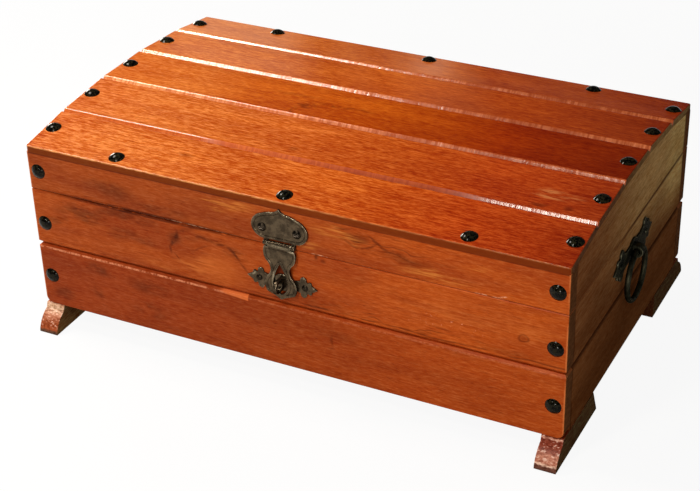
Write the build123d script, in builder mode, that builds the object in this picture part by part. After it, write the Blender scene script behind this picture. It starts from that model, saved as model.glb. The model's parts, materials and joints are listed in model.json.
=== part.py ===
"""Small sea chest of stained pine with a low arched lid, a swing hasp and two ring handles.

Millimetres. +X runs along the chest to its right end, the front faces -Y and +Z is up.
The origin is on the floor, under the middle of the chest. Each piece is one STEP file.
"""

from build123d import *
import os
from math import atan2, cos, sin, sqrt

# ---- driving dimensions: the case ----
chest_length = 400.0
chest_depth = 245.0
foot_height = 18.5
lower_course_height = 49.5
upper_course_height = 45.0
wall_thickness = 11.0  # front and back boards, and the rails of the lid
end_thickness = 12.0  # end boards, and the arched ends of the lid
upper_groove_chamfer = 3.0  # the V groove between the two courses of boards
lower_groove_chamfer = 1.4
bottom_corner_radius = 5.5
eased_edge = 0.8
seam_chamfer = 0.5  # along the rim of the case and the lower edge of the lid

panel_thickness = 4.0
panel_inset = 6.0  # height of the bottom panel above the lower edge of the boards
panel_groove_depth = 4.0
panel_play = 0.2  # above the panel, and around it
post_width = 14.0
post_top_gap = 2.0  # the corner posts stop this far below the rim

# ---- feet ----
foot_width = 15.0
foot_reach = 12.5  # how far a foot stands out past the boards
foot_length = 57.0  # under the case
foot_brow = 4.0  # drop of the steep part at the top of a foot's nose
foot_brow_reach = 1.5
foot_toe_height = 1.5  # upright part at the bottom of the nose
front_foot_rake = 8.0  # how much longer a front foot is on the floor than at its top
rear_foot_rake = 1.0
foot_screw_inset = 14.0
foot_screw_pitch = 30.0

# ---- lid ----
lid_gap = 0.4  # between the rim of the case and the lid
lid_edge_height = 33.6  # from the lid's lower edge to the top of its front edge
lid_rise = 11.0  # how much higher the crown is than that edge
slat_thickness = 4.8
outer_slat_width = 46.0
inner_slat_count = 3
slat_groove_chamfer = 2.2
slat_corner_radius = 2.0
rib_width = 14.0
rib_depth = 9.0

# ---- domed nails ----
dome_radius = 5.65
dome_height = 2.7
nail_shank_radius = 0.8
wall_nail_length = 20.0  # of the shank
lid_nail_length = 10.0
shank_play = 0.05
front_nail_inset = 8.0  # from the ends of the chest
lower_nail_height = 24.5  # above the lower edge of the case
upper_nail_height = 18.5  # above the joint between the courses
lid_nail_height = 14.5  # above the lower edge of the lid
end_nail_inset = 6.8  # from the ends of the slats
end_nail_share = 0.54  # of a slat's width, from its front edge
edge_nail_inset = 8.4  # from the front and back edges of the lid
edge_nail_pitch = 130.0

# ---- back hinges ----
hinge_spacing = 240.0
hinge_width = 30.0
hinge_leaf_height = 14.0
hinge_leaf_thickness = 1.2
hinge_barrel_radius = 2.6
hinge_pin_radius = 1.1
hinge_wall_gap = 0.4  # between a barrel and the boards behind it
knuckle_gap = 0.3  # between neighbouring knuckles
knuckle_play = 0.05  # around a pin, in the knuckle that turns on it
hinge_middle_share = 0.4  # share of the hinge's width that is the lid's knuckle
hinge_screw_pitch = 18.0

# ---- hasp ----
hasp_axis_rise = 3.0  # above the rim of the case
hasp_barrel_radius = 1.8
hasp_pin_radius = 0.8
hasp_wall_gap = 0.3
hasp_knuckle_half = 8.5
hasp_knuckle_end = 11.7  # how far the plate's own knuckles reach from the middle
hasp_plate_thickness = 1.6
hasp_plate_half = 21.0
hasp_plate_top = 26.4  # tip of the plate above the axis
hasp_plate_base = 2.4  # lower edge of the plate above the axis
hasp_rim = 1.7  # width of the raised rim of plate and strap
hasp_relief = 0.4  # how deep the field lies inside that rim
hasp_screw_half_pitch = 12.9
hasp_screw_height = 10.5
strap_thickness = 1.6
strap_wall_gap = 1.8  # between the strap and the front boards
strap_length = 41.7
strap_half = 11.9
strap_waist = 7.1
slot_top = 14.4  # below the axis
slot_bottom = 37.6
slot_half = 5.3

# ---- staple on the case ----
staple_drop = 29.5  # its middle, below the hasp's axis
staple_plate_thickness = 1.2
staple_reach = 26.6
staple_boss_radius = 6.5
eye_bore_radius = 3.0
eye_outer_radius = 4.9
eye_thickness = 3.0
eye_standoff = 7.2  # centre of the bore, in front of the boards
staple_pin_half_pitch = 17.2

# ---- ring handles ----
handle_axis_height = 26.0  # above the joint between the courses
handle_plate_thickness = 1.5
handle_plate_reach = 40.0
ring_radius = 18.6
ring_rod_radius = 2.0
ring_standoff = 4.2  # centre of the rod, out from the end boards
ring_play = 0.65
lug_wall = 1.9
lug_width = 6.0
handle_boss_radius = 8.5
handle_pin_half_pitch = 26.0

# ---- small pins and screws ----
pin_head_radius = 2.4
pin_head_height = 1.4
pin_shank_radius = 0.7
pin_shank_length = 8.0
screw_head_radius = 3.3
screw_head_height = 2.0
screw_shank_radius = 1.1
screw_shank_length = 9.0
screw_slot_width = 0.8
screw_slot_depth = 0.8
small_head_radius = 1.8
small_head_height = 0.8
small_shank_radius = 0.8
small_shank_length = 6.0
foot_screw_head_radius = 3.0
foot_screw_head_height = 2.4
foot_screw_shank_radius = 1.5
foot_screw_bite = 9.0  # into the end boards
foot_screw_play = 0.2

# ---- derived places ----
half_length = chest_length / 2
half_depth = chest_depth / 2
z_case = foot_height
z_course = z_case + lower_course_height
z_rim = z_course + upper_course_height
z_lid = z_rim + lid_gap
z_lid_edge = z_lid + lid_edge_height
z_panel = z_case + panel_inset
z_panel_top = z_panel + panel_thickness
inner_half_length = half_length - end_thickness
inner_half_depth = half_depth - wall_thickness
lid_radius = (half_depth**2 + lid_rise**2) / (2 * lid_rise)
z_hasp = z_rim + hasp_axis_rise
z_staple = z_hasp - staple_drop
z_handle = z_course + handle_axis_height
z_hinge = z_rim + lid_gap / 2
y_hasp_axis = -(half_depth + hasp_wall_gap + hasp_barrel_radius)
y_hinge_axis = half_depth + hinge_wall_gap + hinge_barrel_radius
shank_bore = nail_shank_radius + shank_play

FRONT = -1
BACK = 1
LEFT = -1
RIGHT = 1

os.makedirs("parts", exist_ok=True)


def save(piece, name):
    """Label a finished piece and write it under that name."""
    piece.part.label = name
    export_step(piece.part, f"parts/{name}.step")


# ---- the arch of the lid ----
def arch_top(y):
    """Height of the arch over a distance y from the middle."""
    return z_lid_edge + lid_rise - lid_radius + sqrt(lid_radius**2 - y**2)


inner_slat_width = (chest_depth - 2 * outer_slat_width) / inner_slat_count
slat_joints = (
    [-half_depth]
    + [-half_depth + outer_slat_width + i * inner_slat_width for i in range(inner_slat_count + 1)]
    + [half_depth]
)
slat_count = inner_slat_count + 2
crest = [Vector(0, y, arch_top(y)) for y in slat_joints]


def slat_slope(i):
    """Direction across slat i, from front to back."""
    return (crest[i + 1] - crest[i]).normalized()


def slat_normal(i):
    """Outward normal of slat i."""
    across = slat_slope(i)
    return Vector(0, -across.Z, across.Y)


def joint_direction(j):
    """Direction from joint j down to its lower corner, as long as a slat is thick there."""
    if j == 0:
        return Vector(0, 0, -slat_thickness / slat_normal(0).Z)
    if j == slat_count:
        return Vector(0, 0, -slat_thickness / slat_normal(slat_count - 1).Z)
    middle = (slat_normal(j - 1) + slat_normal(j)).normalized()
    return middle * (-slat_thickness / middle.dot(slat_normal(j)))


underside = [crest[j] + joint_direction(j) for j in range(slat_count + 1)]


def under_height(y):
    """Height of the slats' undersides over y."""
    for low, high in zip(underside, underside[1:]):
        if y <= high.Y:
            return low.Z + (high.Z - low.Z) * (y - low.Y) / (high.Y - low.Y)
    return underside[-1].Z


def slat_point(i, share):
    """A point on top of slat i, at a share of its width from its front edge."""
    return crest[i] + (crest[i + 1] - crest[i]) * share


def slat_plane(i, x, share):
    """A plane on top of slat i that faces outwards."""
    return Plane(slat_point(i, share) + Vector(x, 0, 0), x_dir=(1, 0, 0), z_dir=slat_normal(i))


# ---- planes on the walls, all facing outwards ----
def long_wall_plane(side, x, z):
    return Plane((x, side * half_depth, z), x_dir=(-side, 0, 0), z_dir=(0, side, 0))


def end_wall_plane(side, y, z):
    return Plane((side * half_length, y, z), x_dir=(0, side, 0), z_dir=(side, 0, 0))


def floor_plane(x, y, z):
    """Faces down."""
    return Plane((x, y, z), x_dir=(1, 0, 0), z_dir=(0, 0, -1))


# ---- where the nails and screws go ----
def wall_nail_planes(side, z):
    x = half_length - front_nail_inset
    return [long_wall_plane(side, -x, z), long_wall_plane(side, x, z)]


lower_nail_z = z_case + lower_nail_height
upper_nail_z = z_course + upper_nail_height
lid_nail_z = z_lid + lid_nail_height
end_nail_x = half_length - end_nail_inset
edge_nail_share = edge_nail_inset / outer_slat_width
end_nail_planes = [
    slat_plane(i, x, end_nail_share) for i in range(slat_count) for x in (-end_nail_x, end_nail_x)
]
edge_nail_xs = [-edge_nail_pitch, 0, edge_nail_pitch]
front_edge_planes = [slat_plane(0, x, edge_nail_share) for x in edge_nail_xs]
back_edge_planes = [slat_plane(slat_count - 1, x, 1 - edge_nail_share) for x in edge_nail_xs]
lid_top_planes = end_nail_planes + front_edge_planes + back_edge_planes

foot_screw_ys = [half_depth - foot_screw_inset - i * foot_screw_pitch for i in range(2)]
foot_screw_x = half_length - end_thickness / 2


def foot_screw_planes(z):
    return [
        floor_plane(side * foot_screw_x, facing * y, z)
        for side in (LEFT, RIGHT)
        for facing in (FRONT, BACK)
        for y in foot_screw_ys
    ]


hinge_xs = {"left": -hinge_spacing / 2, "right": hinge_spacing / 2}
hinge_screw_rise = hinge_barrel_radius + knuckle_gap + (hinge_leaf_height - hinge_barrel_radius) / 2


def hinge_screw_planes(facing, on_leaf):
    """Screws of the leaves above (facing 1) or below (facing -1) the hinge axis."""
    out = hinge_leaf_thickness if on_leaf else 0
    return [
        long_wall_plane(BACK, x + dx, z_hinge + facing * hinge_screw_rise).offset(out)
        for x in hinge_xs.values()
        for dx in (-hinge_screw_pitch / 2, hinge_screw_pitch / 2)
    ]


def hasp_screw_planes(out):
    z = z_hasp + hasp_screw_height
    xs = (-hasp_screw_half_pitch, hasp_screw_half_pitch)
    return [long_wall_plane(FRONT, x, z).offset(out) for x in xs]


def staple_pin_planes(out):
    xs = (-staple_pin_half_pitch, staple_pin_half_pitch)
    return [long_wall_plane(FRONT, x, z_staple).offset(out) for x in xs]


def handle_pin_planes(side, out):
    ys = (-handle_pin_half_pitch, handle_pin_half_pitch)
    return [end_wall_plane(side, y, z_handle).offset(out) for y in ys]


# ---- fasteners ----
def dome_profile(head_radius, head_height, shank_radius, shank_length):
    """Half section of a domed fastener that seats at height 0 and points up."""
    sphere = (head_radius**2 + head_height**2) / (2 * head_height)
    half_angle = atan2(head_radius, sphere - head_height) / 2
    shoulder = (sphere * sin(half_angle), head_height - sphere + sphere * cos(half_angle))
    with BuildLine() as outline:
        Polyline(
            (0, head_height),
            (0, -shank_length),
            (shank_radius, -shank_length),
            (shank_radius, 0),
            (head_radius, 0),
        )
        ThreePointArc((head_radius, 0), shoulder, (0, head_height))
    return outline.line


def domed_fasteners(planes, head_radius, head_height, shank_radius, shank_length, slot=False):
    """One domed fastener on each plane, with a screwdriver slot if asked."""
    with BuildPart() as single:
        with BuildSketch(Plane.XZ):
            with BuildLine():
                add(dome_profile(head_radius, head_height, shank_radius, shank_length))
            make_face()
        revolve(axis=Axis.Z)
        if slot:
            with Locations((0, 0, head_height)):
                Box(2 * head_radius, screw_slot_width, 2 * screw_slot_depth, mode=Mode.SUBTRACT)
    with BuildPart() as group:
        with Locations(*planes):
            add(single.part)
    return group


def drill(planes, radius, depth):
    """Bores a hole down from each plane, in the part being built."""
    with Locations(*planes):
        Cylinder(radius, depth, align=(Align.CENTER, Align.CENTER, Align.MAX), mode=Mode.SUBTRACT)


# ---- boards of the case ----
def outer_rim_edges(part, side, z):
    """The edges of a long board around the outside of its face at height z."""
    level = part.edges().filter_by_position(Axis.Z, z - 0.01, z + 0.01)
    inner = side * inner_half_depth
    return level.filter_by(lambda e: abs(e.center().Y - inner) > 0.01)


def long_board(side, z, height, top_chamfer, bottom_chamfer, corner_radius=0.0):
    """A front or back board over the full length, eased around the outside."""
    middle = side * (half_depth - wall_thickness / 2)
    with BuildPart() as board:
        with BuildSketch(Plane.XY.offset(z)):
            with Locations((0, middle)):
                Rectangle(chest_length, wall_thickness)
        extrude(amount=height)
        if corner_radius:
            low = board.edges().filter_by(Axis.Y).group_by(Axis.Z)[0]
            fillet(low, corner_radius)
        else:
            chamfer(outer_rim_edges(board.part, side, z), bottom_chamfer)
        chamfer(outer_rim_edges(board.part, side, z + height), top_chamfer)
        upright = board.edges().filter_by(Axis.Z).group_by(Axis.Y)[0 if side == FRONT else -1]
        fillet(upright, eased_edge)
    return board


def end_board(side, z, height, top_chamfer, bottom_chamfer):
    """An end board between the front and back boards."""
    middle = side * (half_length - end_thickness / 2)
    with BuildPart() as board:
        with BuildSketch(Plane.XY.offset(z)):
            with Locations((middle, 0)):
                Rectangle(end_thickness, 2 * inner_half_depth)
        extrude(amount=height)
        outer = board.faces().sort_by(Axis.X)[0 if side == LEFT else -1]
        level = outer.edges().filter_by(Axis.Y).sort_by(Axis.Z)
        chamfer(level[-1], top_chamfer)
        outer = board.faces().sort_by(Axis.X)[0 if side == LEFT else -1]
        level = outer.edges().filter_by(Axis.Y).sort_by(Axis.Z)
        chamfer(level[0], bottom_chamfer)
    return board


def panel_groove(board):
    """Cuts the groove that holds the bottom panel into a lower board."""
    with board:
        with Locations((0, 0, z_panel)):
            Box(
                2 * (inner_half_length + panel_groove_depth),
                2 * (inner_half_depth + panel_groove_depth),
                panel_thickness + panel_play,
                align=(Align.CENTER, Align.CENTER, Align.MIN),
                mode=Mode.SUBTRACT,
            )


def make_long_boards(side, name):
    lower = long_board(
        side, z_case, lower_course_height, lower_groove_chamfer, eased_edge, bottom_corner_radius
    )
    panel_groove(lower)
    with lower:
        drill(wall_nail_planes(side, lower_nail_z), shank_bore, wall_thickness)
    save(lower, f"{name}_lower_board")

    upper = long_board(side, z_course, upper_course_height, seam_chamfer, upper_groove_chamfer)
    with upper:
        drill(wall_nail_planes(side, upper_nail_z), shank_bore, wall_thickness)
        if side == FRONT:
            drill(staple_pin_planes(0), pin_shank_radius, pin_shank_length)
        else:
            drill(hinge_screw_planes(-1, False), small_shank_radius, small_shank_length)
    save(upper, f"{name}_upper_board")


def make_end_boards(side, name):
    lower = end_board(side, z_case, lower_course_height, lower_groove_chamfer, eased_edge)
    panel_groove(lower)
    with lower:
        for facing in (FRONT, BACK):
            drill(wall_nail_planes(facing, lower_nail_z), shank_bore, wall_nail_length)
        drill(foot_screw_planes(z_case), foot_screw_shank_radius, foot_screw_bite)
    save(lower, f"{name}_lower_board")

    upper = end_board(side, z_course, upper_course_height, seam_chamfer, upper_groove_chamfer)
    with upper:
        for facing in (FRONT, BACK):
            drill(wall_nail_planes(facing, upper_nail_z), shank_bore, wall_nail_length)
        drill(handle_pin_planes(side, 0), pin_shank_radius, pin_shank_length)
    save(upper, f"{name}_upper_board")


def make_bottom_panel():
    with BuildPart() as panel:
        with BuildSketch(Plane.XY.offset(z_panel)):
            Rectangle(
                2 * (inner_half_length + panel_groove_depth - panel_play),
                2 * (inner_half_depth + panel_groove_depth - panel_play),
            )
        extrude(amount=panel_thickness)
    save(panel, "bottom_panel")


def make_corner_posts():
    """Square posts in the corners, which tie the two courses of boards together."""
    for end, end_name in ((LEFT, "left"), (RIGHT, "right")):
        for facing, face_name in ((FRONT, "front"), (BACK, "back")):
            with BuildPart() as post:
                x = end * (inner_half_length - post_width / 2)
                y = facing * (inner_half_depth - post_width / 2)
                with BuildSketch(Plane.XY.offset(z_panel_top + panel_play)):
                    with Locations((x, y)):
                        Rectangle(post_width, post_width)
                extrude(amount=z_rim - post_top_gap - z_panel_top - panel_play)
                inward = post.edges().filter_by(Axis.Z).sort_by(
                    lambda e: abs(e.center().X) + abs(e.center().Y)
                )[0]
                chamfer(inward, post_width / 4)
            save(post, f"corner_post_{face_name}_{end_name}")


def foot_outline(facing, rake):
    """Side view of a foot, in (y, z): the nose in front of the boards and the heel under them."""
    face = facing * half_depth
    brow = (face + facing * foot_brow_reach, foot_height - foot_brow)
    belly = (face + facing * 0.66 * foot_reach, 0.51 * foot_height)
    toe = (face + facing * foot_reach, foot_toe_height)
    heel = face - facing * foot_length
    with BuildLine() as outline:
        Polyline(brow, (face, foot_height), (heel, foot_height), (heel - facing * rake, 0), (toe[0], 0), toe)
        ThreePointArc(toe, belly, brow)
    return outline.line


def make_feet():
    """Bracket feet under the ends, each raked at the heel."""
    for facing, face_name, rake in ((FRONT, "front", front_foot_rake), (BACK, "rear", rear_foot_rake)):
        for end, end_name in ((LEFT, "left"), (RIGHT, "right")):
            with BuildPart() as foot:
                with BuildSketch(Plane.YZ.offset(end * half_length)):
                    make_face(foot_outline(facing, rake))
                extrude(amount=-end * foot_width)
                drill(foot_screw_planes(0), foot_screw_shank_radius + foot_screw_play, foot_height)
                drill(foot_screw_planes(0), foot_screw_head_radius + foot_screw_play, foot_screw_head_height)
            save(foot, f"{face_name}_foot_{end_name}")


def make_foot_screws():
    """Countersunk from below, through the feet into the end boards."""
    with BuildPart() as single:
        with BuildSketch(Plane.XZ):
            with BuildLine():
                Polyline(
                    (0, 0),
                    (0, -foot_height - foot_screw_bite),
                    (foot_screw_shank_radius, -foot_height - foot_screw_bite),
                    (foot_screw_shank_radius, -foot_screw_head_height),
                    (foot_screw_head_radius, -foot_screw_head_height),
                    (foot_screw_head_radius, -screw_slot_depth),
                    (foot_screw_head_radius - screw_slot_depth, 0),
                    close=True,
                )
            make_face()
        revolve(axis=Axis.Z)
        Box(2 * foot_screw_head_radius, screw_slot_width, 2 * screw_slot_depth, mode=Mode.SUBTRACT)
    with BuildPart() as screws:
        with Locations(*foot_screw_planes(0)):
            add(single.part)
    save(screws, "foot_screws")


# ---- the lid ----
def yz_prism(points, x_low, x_high):
    """A straight prism along X over a closed outline of (y, z) corners."""
    with BuildPart() as prism:
        with BuildSketch(Plane.YZ.offset(x_low)):
            with BuildLine():
                Polyline(*points, close=True)
            make_face()
        extrude(amount=x_high - x_low)
    return prism


def arch_outline(y_low, y_high, bottom):
    """Outline under the slats between two distances, down to the given lower corners."""
    inside = [p for p in underside if y_low < p.Y < y_high]
    top = [(y_low, under_height(y_low))] + [(p.Y, p.Z) for p in inside] + [(y_high, under_height(y_high))]
    return top + bottom


def make_lid_rails():
    for side, name in ((FRONT, "front"), (BACK, "back")):
        low, high = sorted((side * half_depth, side * inner_half_depth))
        outline = arch_outline(low, high, [(high, z_lid), (low, z_lid)])
        rail = yz_prism(outline, -half_length, half_length)
        with rail:
            chamfer(outer_rim_edges(rail.part, side, z_lid), seam_chamfer)
            upright = rail.edges().filter_by(Axis.Z).group_by(Axis.Y)[0 if side == FRONT else -1]
            fillet(upright, eased_edge)
            drill(wall_nail_planes(side, lid_nail_z), shank_bore, wall_thickness)
            drill(lid_top_planes, shank_bore, lid_nail_length)
            if side == FRONT:
                drill(hasp_screw_planes(0), screw_shank_radius, screw_shank_length)
            else:
                drill(hinge_screw_planes(1, False), small_shank_radius, small_shank_length)
        save(rail, f"lid_{name}_rail")


def make_lid_ends():
    outline = arch_outline(
        -inner_half_depth, inner_half_depth, [(inner_half_depth, z_lid), (-inner_half_depth, z_lid)]
    )
    for side, name in ((LEFT, "left"), (RIGHT, "right")):
        low, high = sorted((side * half_length, side * inner_half_length))
        end = yz_prism(outline, low, high)
        with end:
            outer = end.faces().sort_by(Axis.X)[0 if side == LEFT else -1]
            chamfer(outer.edges().filter_by(Axis.Y).sort_by(Axis.Z)[0], seam_chamfer)
            for facing in (FRONT, BACK):
                drill(wall_nail_planes(facing, lid_nail_z), shank_bore, wall_nail_length)
            drill(lid_top_planes, shank_bore, lid_nail_length)
        save(end, f"lid_{name}_end")


def make_lid_rib():
    """One curved rib across the middle, which carries the slats between the ends."""
    inside = [p for p in underside if abs(p.Y) < inner_half_depth]
    low_points = [(inner_half_depth, under_height(inner_half_depth) - rib_depth)]
    low_points += [(p.Y, p.Z - rib_depth) for p in reversed(inside)]
    low_points += [(-inner_half_depth, under_height(-inner_half_depth) - rib_depth)]
    rib = yz_prism(
        arch_outline(-inner_half_depth, inner_half_depth, low_points), -rib_width / 2, rib_width / 2
    )
    save(rib, "lid_middle_rib")


def slat_outline(i):
    """Section of slat i, with a chamfer along each joint that it shares."""
    across = slat_slope(i)
    front_down = joint_direction(i).normalized()
    back_down = joint_direction(i + 1).normalized()
    points = [underside[i]]
    if i > 0:
        points += [
            crest[i] + front_down * slat_groove_chamfer,
            crest[i] + across * slat_groove_chamfer,
        ]
    else:
        points += [crest[i]]
    if i < slat_count - 1:
        points += [
            crest[i + 1] - across * slat_groove_chamfer,
            crest[i + 1] + back_down * slat_groove_chamfer,
        ]
    else:
        points += [crest[i + 1]]
    points += [underside[i + 1]]
    return [(p.Y, p.Z) for p in points]


def make_slats():
    for i in range(slat_count):
        slat = yz_prism(slat_outline(i), -half_length, half_length)
        with slat:
            if i in (0, slat_count - 1):
                outer = slat.edges().filter_by(Axis.Z).group_by(Axis.Y)[0 if i == 0 else -1]
                fillet(outer, slat_corner_radius)
            facing_out = Axis((0, 0, 0), slat_normal(i))
            top = slat.faces().filter_by(facing_out).sort_by(facing_out)[-1]
            shared = [crest[j].Y for j in (i, i + 1) if 0 < j < slat_count]
            free = top.edges().filter_by(
                lambda e: not (
                    e.length > outer_slat_width * 2
                    and any(abs(e.center().Y - y) < 2 * slat_groove_chamfer for y in shared)
                )
            )
            fillet(free, eased_edge)
            drill(lid_top_planes, shank_bore, lid_nail_length)
        save(slat, f"lid_slat_{i + 1}")


# ---- hinges at the back ----
def knuckle_spans():
    """The lid's knuckle in the middle of a hinge, and the case's two beside it."""
    middle = hinge_width * hinge_middle_share / 2
    half = hinge_width / 2
    return {
        "lid": [(-middle, middle)],
        "case": [(-half, -middle - knuckle_gap), (middle + knuckle_gap, half)],
    }


def barrel(x_low, x_high, y, z, radius, mode=Mode.ADD):
    """A cylinder along X, added to the part being built or cut from it."""
    with Locations(((x_low + x_high) / 2, y, z)):
        Cylinder(radius, x_high - x_low, rotation=(0, 90, 0), mode=mode)


def hinge_leaf(x, owner, facing):
    """A leaf flat on the back boards, above (facing 1) or below (facing -1) the axis."""
    near = hinge_barrel_radius + knuckle_gap
    play = knuckle_play if owner == "lid" else 0
    with BuildPart() as leaf:
        with BuildSketch(Plane.XZ.offset(-half_depth)):
            with Locations((x, z_hinge + facing * (near + hinge_leaf_height) / 2)):
                Rectangle(hinge_width, hinge_leaf_height - near)
        extrude(amount=-hinge_leaf_thickness)
        far = leaf.edges().filter_by(Axis.Y).group_by(Axis.Z)[-1 if facing > 0 else 0]
        fillet(far, hinge_leaf_thickness * 2)
        for low, high in knuckle_spans()[owner]:
            with BuildSketch(Plane.XZ.offset(-half_depth)):
                with Locations((x + (low + high) / 2, z_hinge + facing * near / 2)):
                    Rectangle(high - low, near)
            extrude(amount=-hinge_leaf_thickness)
            barrel(x + low, x + high, y_hinge_axis, z_hinge, hinge_barrel_radius)
        for low, high in knuckle_spans()[owner]:
            barrel(x + low, x + high, y_hinge_axis, z_hinge, hinge_pin_radius + play, Mode.SUBTRACT)
        drill(hinge_screw_planes(facing, True), small_shank_radius, hinge_leaf_thickness)
    return leaf


def rod_along_x(x_low, x_high, y, z, radius):
    with BuildPart() as rod:
        barrel(x_low, x_high, y, z, radius)
        chamfer(rod.edges().filter_by(GeomType.CIRCLE), radius / 4)
    return rod


def make_hinges():
    for name, x in hinge_xs.items():
        save(hinge_leaf(x, "case", -1), f"{name}_hinge_case_leaf")
        save(hinge_leaf(x, "lid", 1), f"{name}_hinge_lid_leaf")
        half = hinge_width / 2
        save(rod_along_x(x - half, x + half, y_hinge_axis, z_hinge, hinge_pin_radius), f"{name}_hinge_pin")
    for facing, owner in ((-1, "case"), (1, "lid")):
        screws = domed_fasteners(
            hinge_screw_planes(facing, True),
            small_head_radius,
            small_head_height,
            small_shank_radius,
            small_shank_length + hinge_leaf_thickness,
        )
        save(screws, f"{owner}_hinge_screws")


# ---- hasp ----
def hasp_plate_outline():
    """Ogee-topped plate with rounded wings, drawn from the hasp's axis."""
    half = hasp_plate_half
    top = hasp_plate_top
    base = hasp_plate_base
    with BuildLine() as outline:
        Line((0, base), (hasp_knuckle_end, base))
        ThreePointArc((hasp_knuckle_end, base), (0.9 * half, 0.22 * top), (half, 0.43 * top))
        ThreePointArc((half, 0.43 * top), (0.91 * half, 0.63 * top), (0.66 * half, 0.775 * top))
        ThreePointArc((0.66 * half, 0.775 * top), (0.45 * half, 0.835 * top), (0.24 * half, 0.87 * top))
        ThreePointArc((0.24 * half, 0.87 * top), (0.1 * half, 0.92 * top), (0, top))
        mirror(about=Plane.YZ)
    return outline.line


def make_hasp_plate():
    """The fixed half of the hasp, with a knuckle at each side of the strap's."""
    knuckle_low = hasp_knuckle_half + knuckle_gap
    with BuildPart() as plate:
        face = long_wall_plane(FRONT, 0, z_hasp)
        with BuildSketch(face):
            make_face(hasp_plate_outline())
        extrude(amount=hasp_plate_thickness)
        for side in (LEFT, RIGHT):
            x_low, x_high = sorted((side * knuckle_low, side * hasp_knuckle_end))
            with BuildSketch(face):
                with Locations(((x_low + x_high) / 2, hasp_plate_base / 2)):
                    Rectangle(x_high - x_low, hasp_plate_base)
            extrude(amount=hasp_plate_thickness)
            barrel(x_low, x_high, y_hasp_axis, z_hasp, hasp_barrel_radius)
        barrel(-hasp_knuckle_end, hasp_knuckle_end, y_hasp_axis, z_hasp, hasp_pin_radius, Mode.SUBTRACT)
        with BuildSketch(face.offset(hasp_plate_thickness)):
            make_face(hasp_plate_outline())
            offset(amount=-hasp_rim, mode=Mode.REPLACE)
        extrude(amount=-hasp_relief, mode=Mode.SUBTRACT)
        drill(hasp_screw_planes(hasp_plate_thickness), screw_shank_radius, hasp_plate_thickness)
    save(plate, "hasp_plate")


def strap_outline():
    """Waisted strap, drawn down from the hasp's axis."""
    length = strap_length
    half = strap_half
    shoulder = hasp_barrel_radius + knuckle_gap
    waist = 0.47 * length
    with BuildLine() as outline:
        Polyline((0, 0), (hasp_knuckle_half, 0), (hasp_knuckle_half, -shoulder), (0.93 * half, -shoulder))
        ThreePointArc((0.93 * half, -shoulder), (half, -0.2 * length), (0.86 * half, -0.31 * length))
        ThreePointArc((0.86 * half, -0.31 * length), (strap_waist, -waist), (0.72 * half, -0.57 * length))
        ThreePointArc((0.72 * half, -0.57 * length), (half, -0.76 * length), (0.86 * half, -0.89 * length))
        ThreePointArc((0.86 * half, -0.89 * length), (0.4 * half, -0.94 * length), (0, -length))
        mirror(about=Plane.YZ)
    return outline.line


def slot_outline():
    """Keyhole slot: a narrow top that widens to an oval for the eye."""
    widest = slot_top + 0.56 * (slot_bottom - slot_top)
    with BuildLine() as outline:
        ThreePointArc((0, -slot_top), (0.62 * slot_half, -(slot_top + widest) / 2), (slot_half, -widest))
        ThreePointArc(
            (slot_half, -widest),
            (0.78 * slot_half, -(widest + 2.2 * slot_bottom) / 3.2),
            (0, -slot_bottom),
        )
        mirror(about=Plane.YZ)
    return outline.line


def make_hasp_strap():
    face = long_wall_plane(FRONT, 0, z_hasp).offset(strap_wall_gap)
    with BuildSketch() as slot_border:
        make_face(slot_outline())
        offset(amount=hasp_rim, mode=Mode.REPLACE)
    with BuildPart() as strap:
        with BuildSketch(face):
            make_face(strap_outline())
        extrude(amount=strap_thickness)
        barrel(-hasp_knuckle_half, hasp_knuckle_half, y_hasp_axis, z_hasp, hasp_barrel_radius)
        bore = hasp_pin_radius + knuckle_play
        barrel(-hasp_knuckle_half, hasp_knuckle_half, y_hasp_axis, z_hasp, bore, Mode.SUBTRACT)
        with BuildSketch(face.offset(strap_thickness)):
            make_face(strap_outline())
            offset(amount=-hasp_rim, mode=Mode.REPLACE)
            add(slot_border.sketch, mode=Mode.SUBTRACT)
            Rectangle(2 * strap_half, 2 * (hasp_barrel_radius + hasp_rim), mode=Mode.SUBTRACT)
        extrude(amount=-hasp_relief, mode=Mode.SUBTRACT)
        with BuildSketch(face):
            make_face(slot_outline())
        extrude(amount=strap_thickness, mode=Mode.SUBTRACT)
    save(strap, "hasp_strap")


def make_hasp():
    make_hasp_plate()
    make_hasp_strap()
    pin = rod_along_x(-hasp_knuckle_end, hasp_knuckle_end, y_hasp_axis, z_hasp, hasp_pin_radius)
    save(pin, "hasp_pin")
    screws = domed_fasteners(
        hasp_screw_planes(hasp_plate_thickness - hasp_relief),
        screw_head_radius,
        screw_head_height,
        screw_shank_radius,
        screw_shank_length,
        slot=True,
    )
    save(screws, "hasp_screws")


# ---- flat plates with a fleur at each end ----
def fleur_plate(face, reach, boss_radius, thickness):
    """A bar with a round boss; each end spreads into lobes and cusps around a pointed tip."""
    neck = 0.14 * reach
    lobe = (0.6 * reach, 0.21 * reach)
    cusp = (0.78 * reach, 0.13 * reach)
    wing = [(0.38 * reach, neck), lobe, cusp, (reach, 0)]
    below = [(x, -y) for x, y in reversed(wing[:-1])]
    with BuildPart() as plate:
        with BuildSketch(face):
            Rectangle(reach, 2 * neck)
            Circle(boss_radius)
            for side in (LEFT, RIGHT):
                with BuildLine():
                    Polyline(*[(side * x, y) for x, y in wing + below], close=True)
                make_face()
                with Locations((side * lobe[0], lobe[1]), (side * lobe[0], -lobe[1])):
                    Circle(0.085 * reach)
                with Locations((side * cusp[0], cusp[1]), (side * cusp[0], -cusp[1])):
                    Circle(0.052 * reach)
        extrude(amount=thickness)
    return plate


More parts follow.
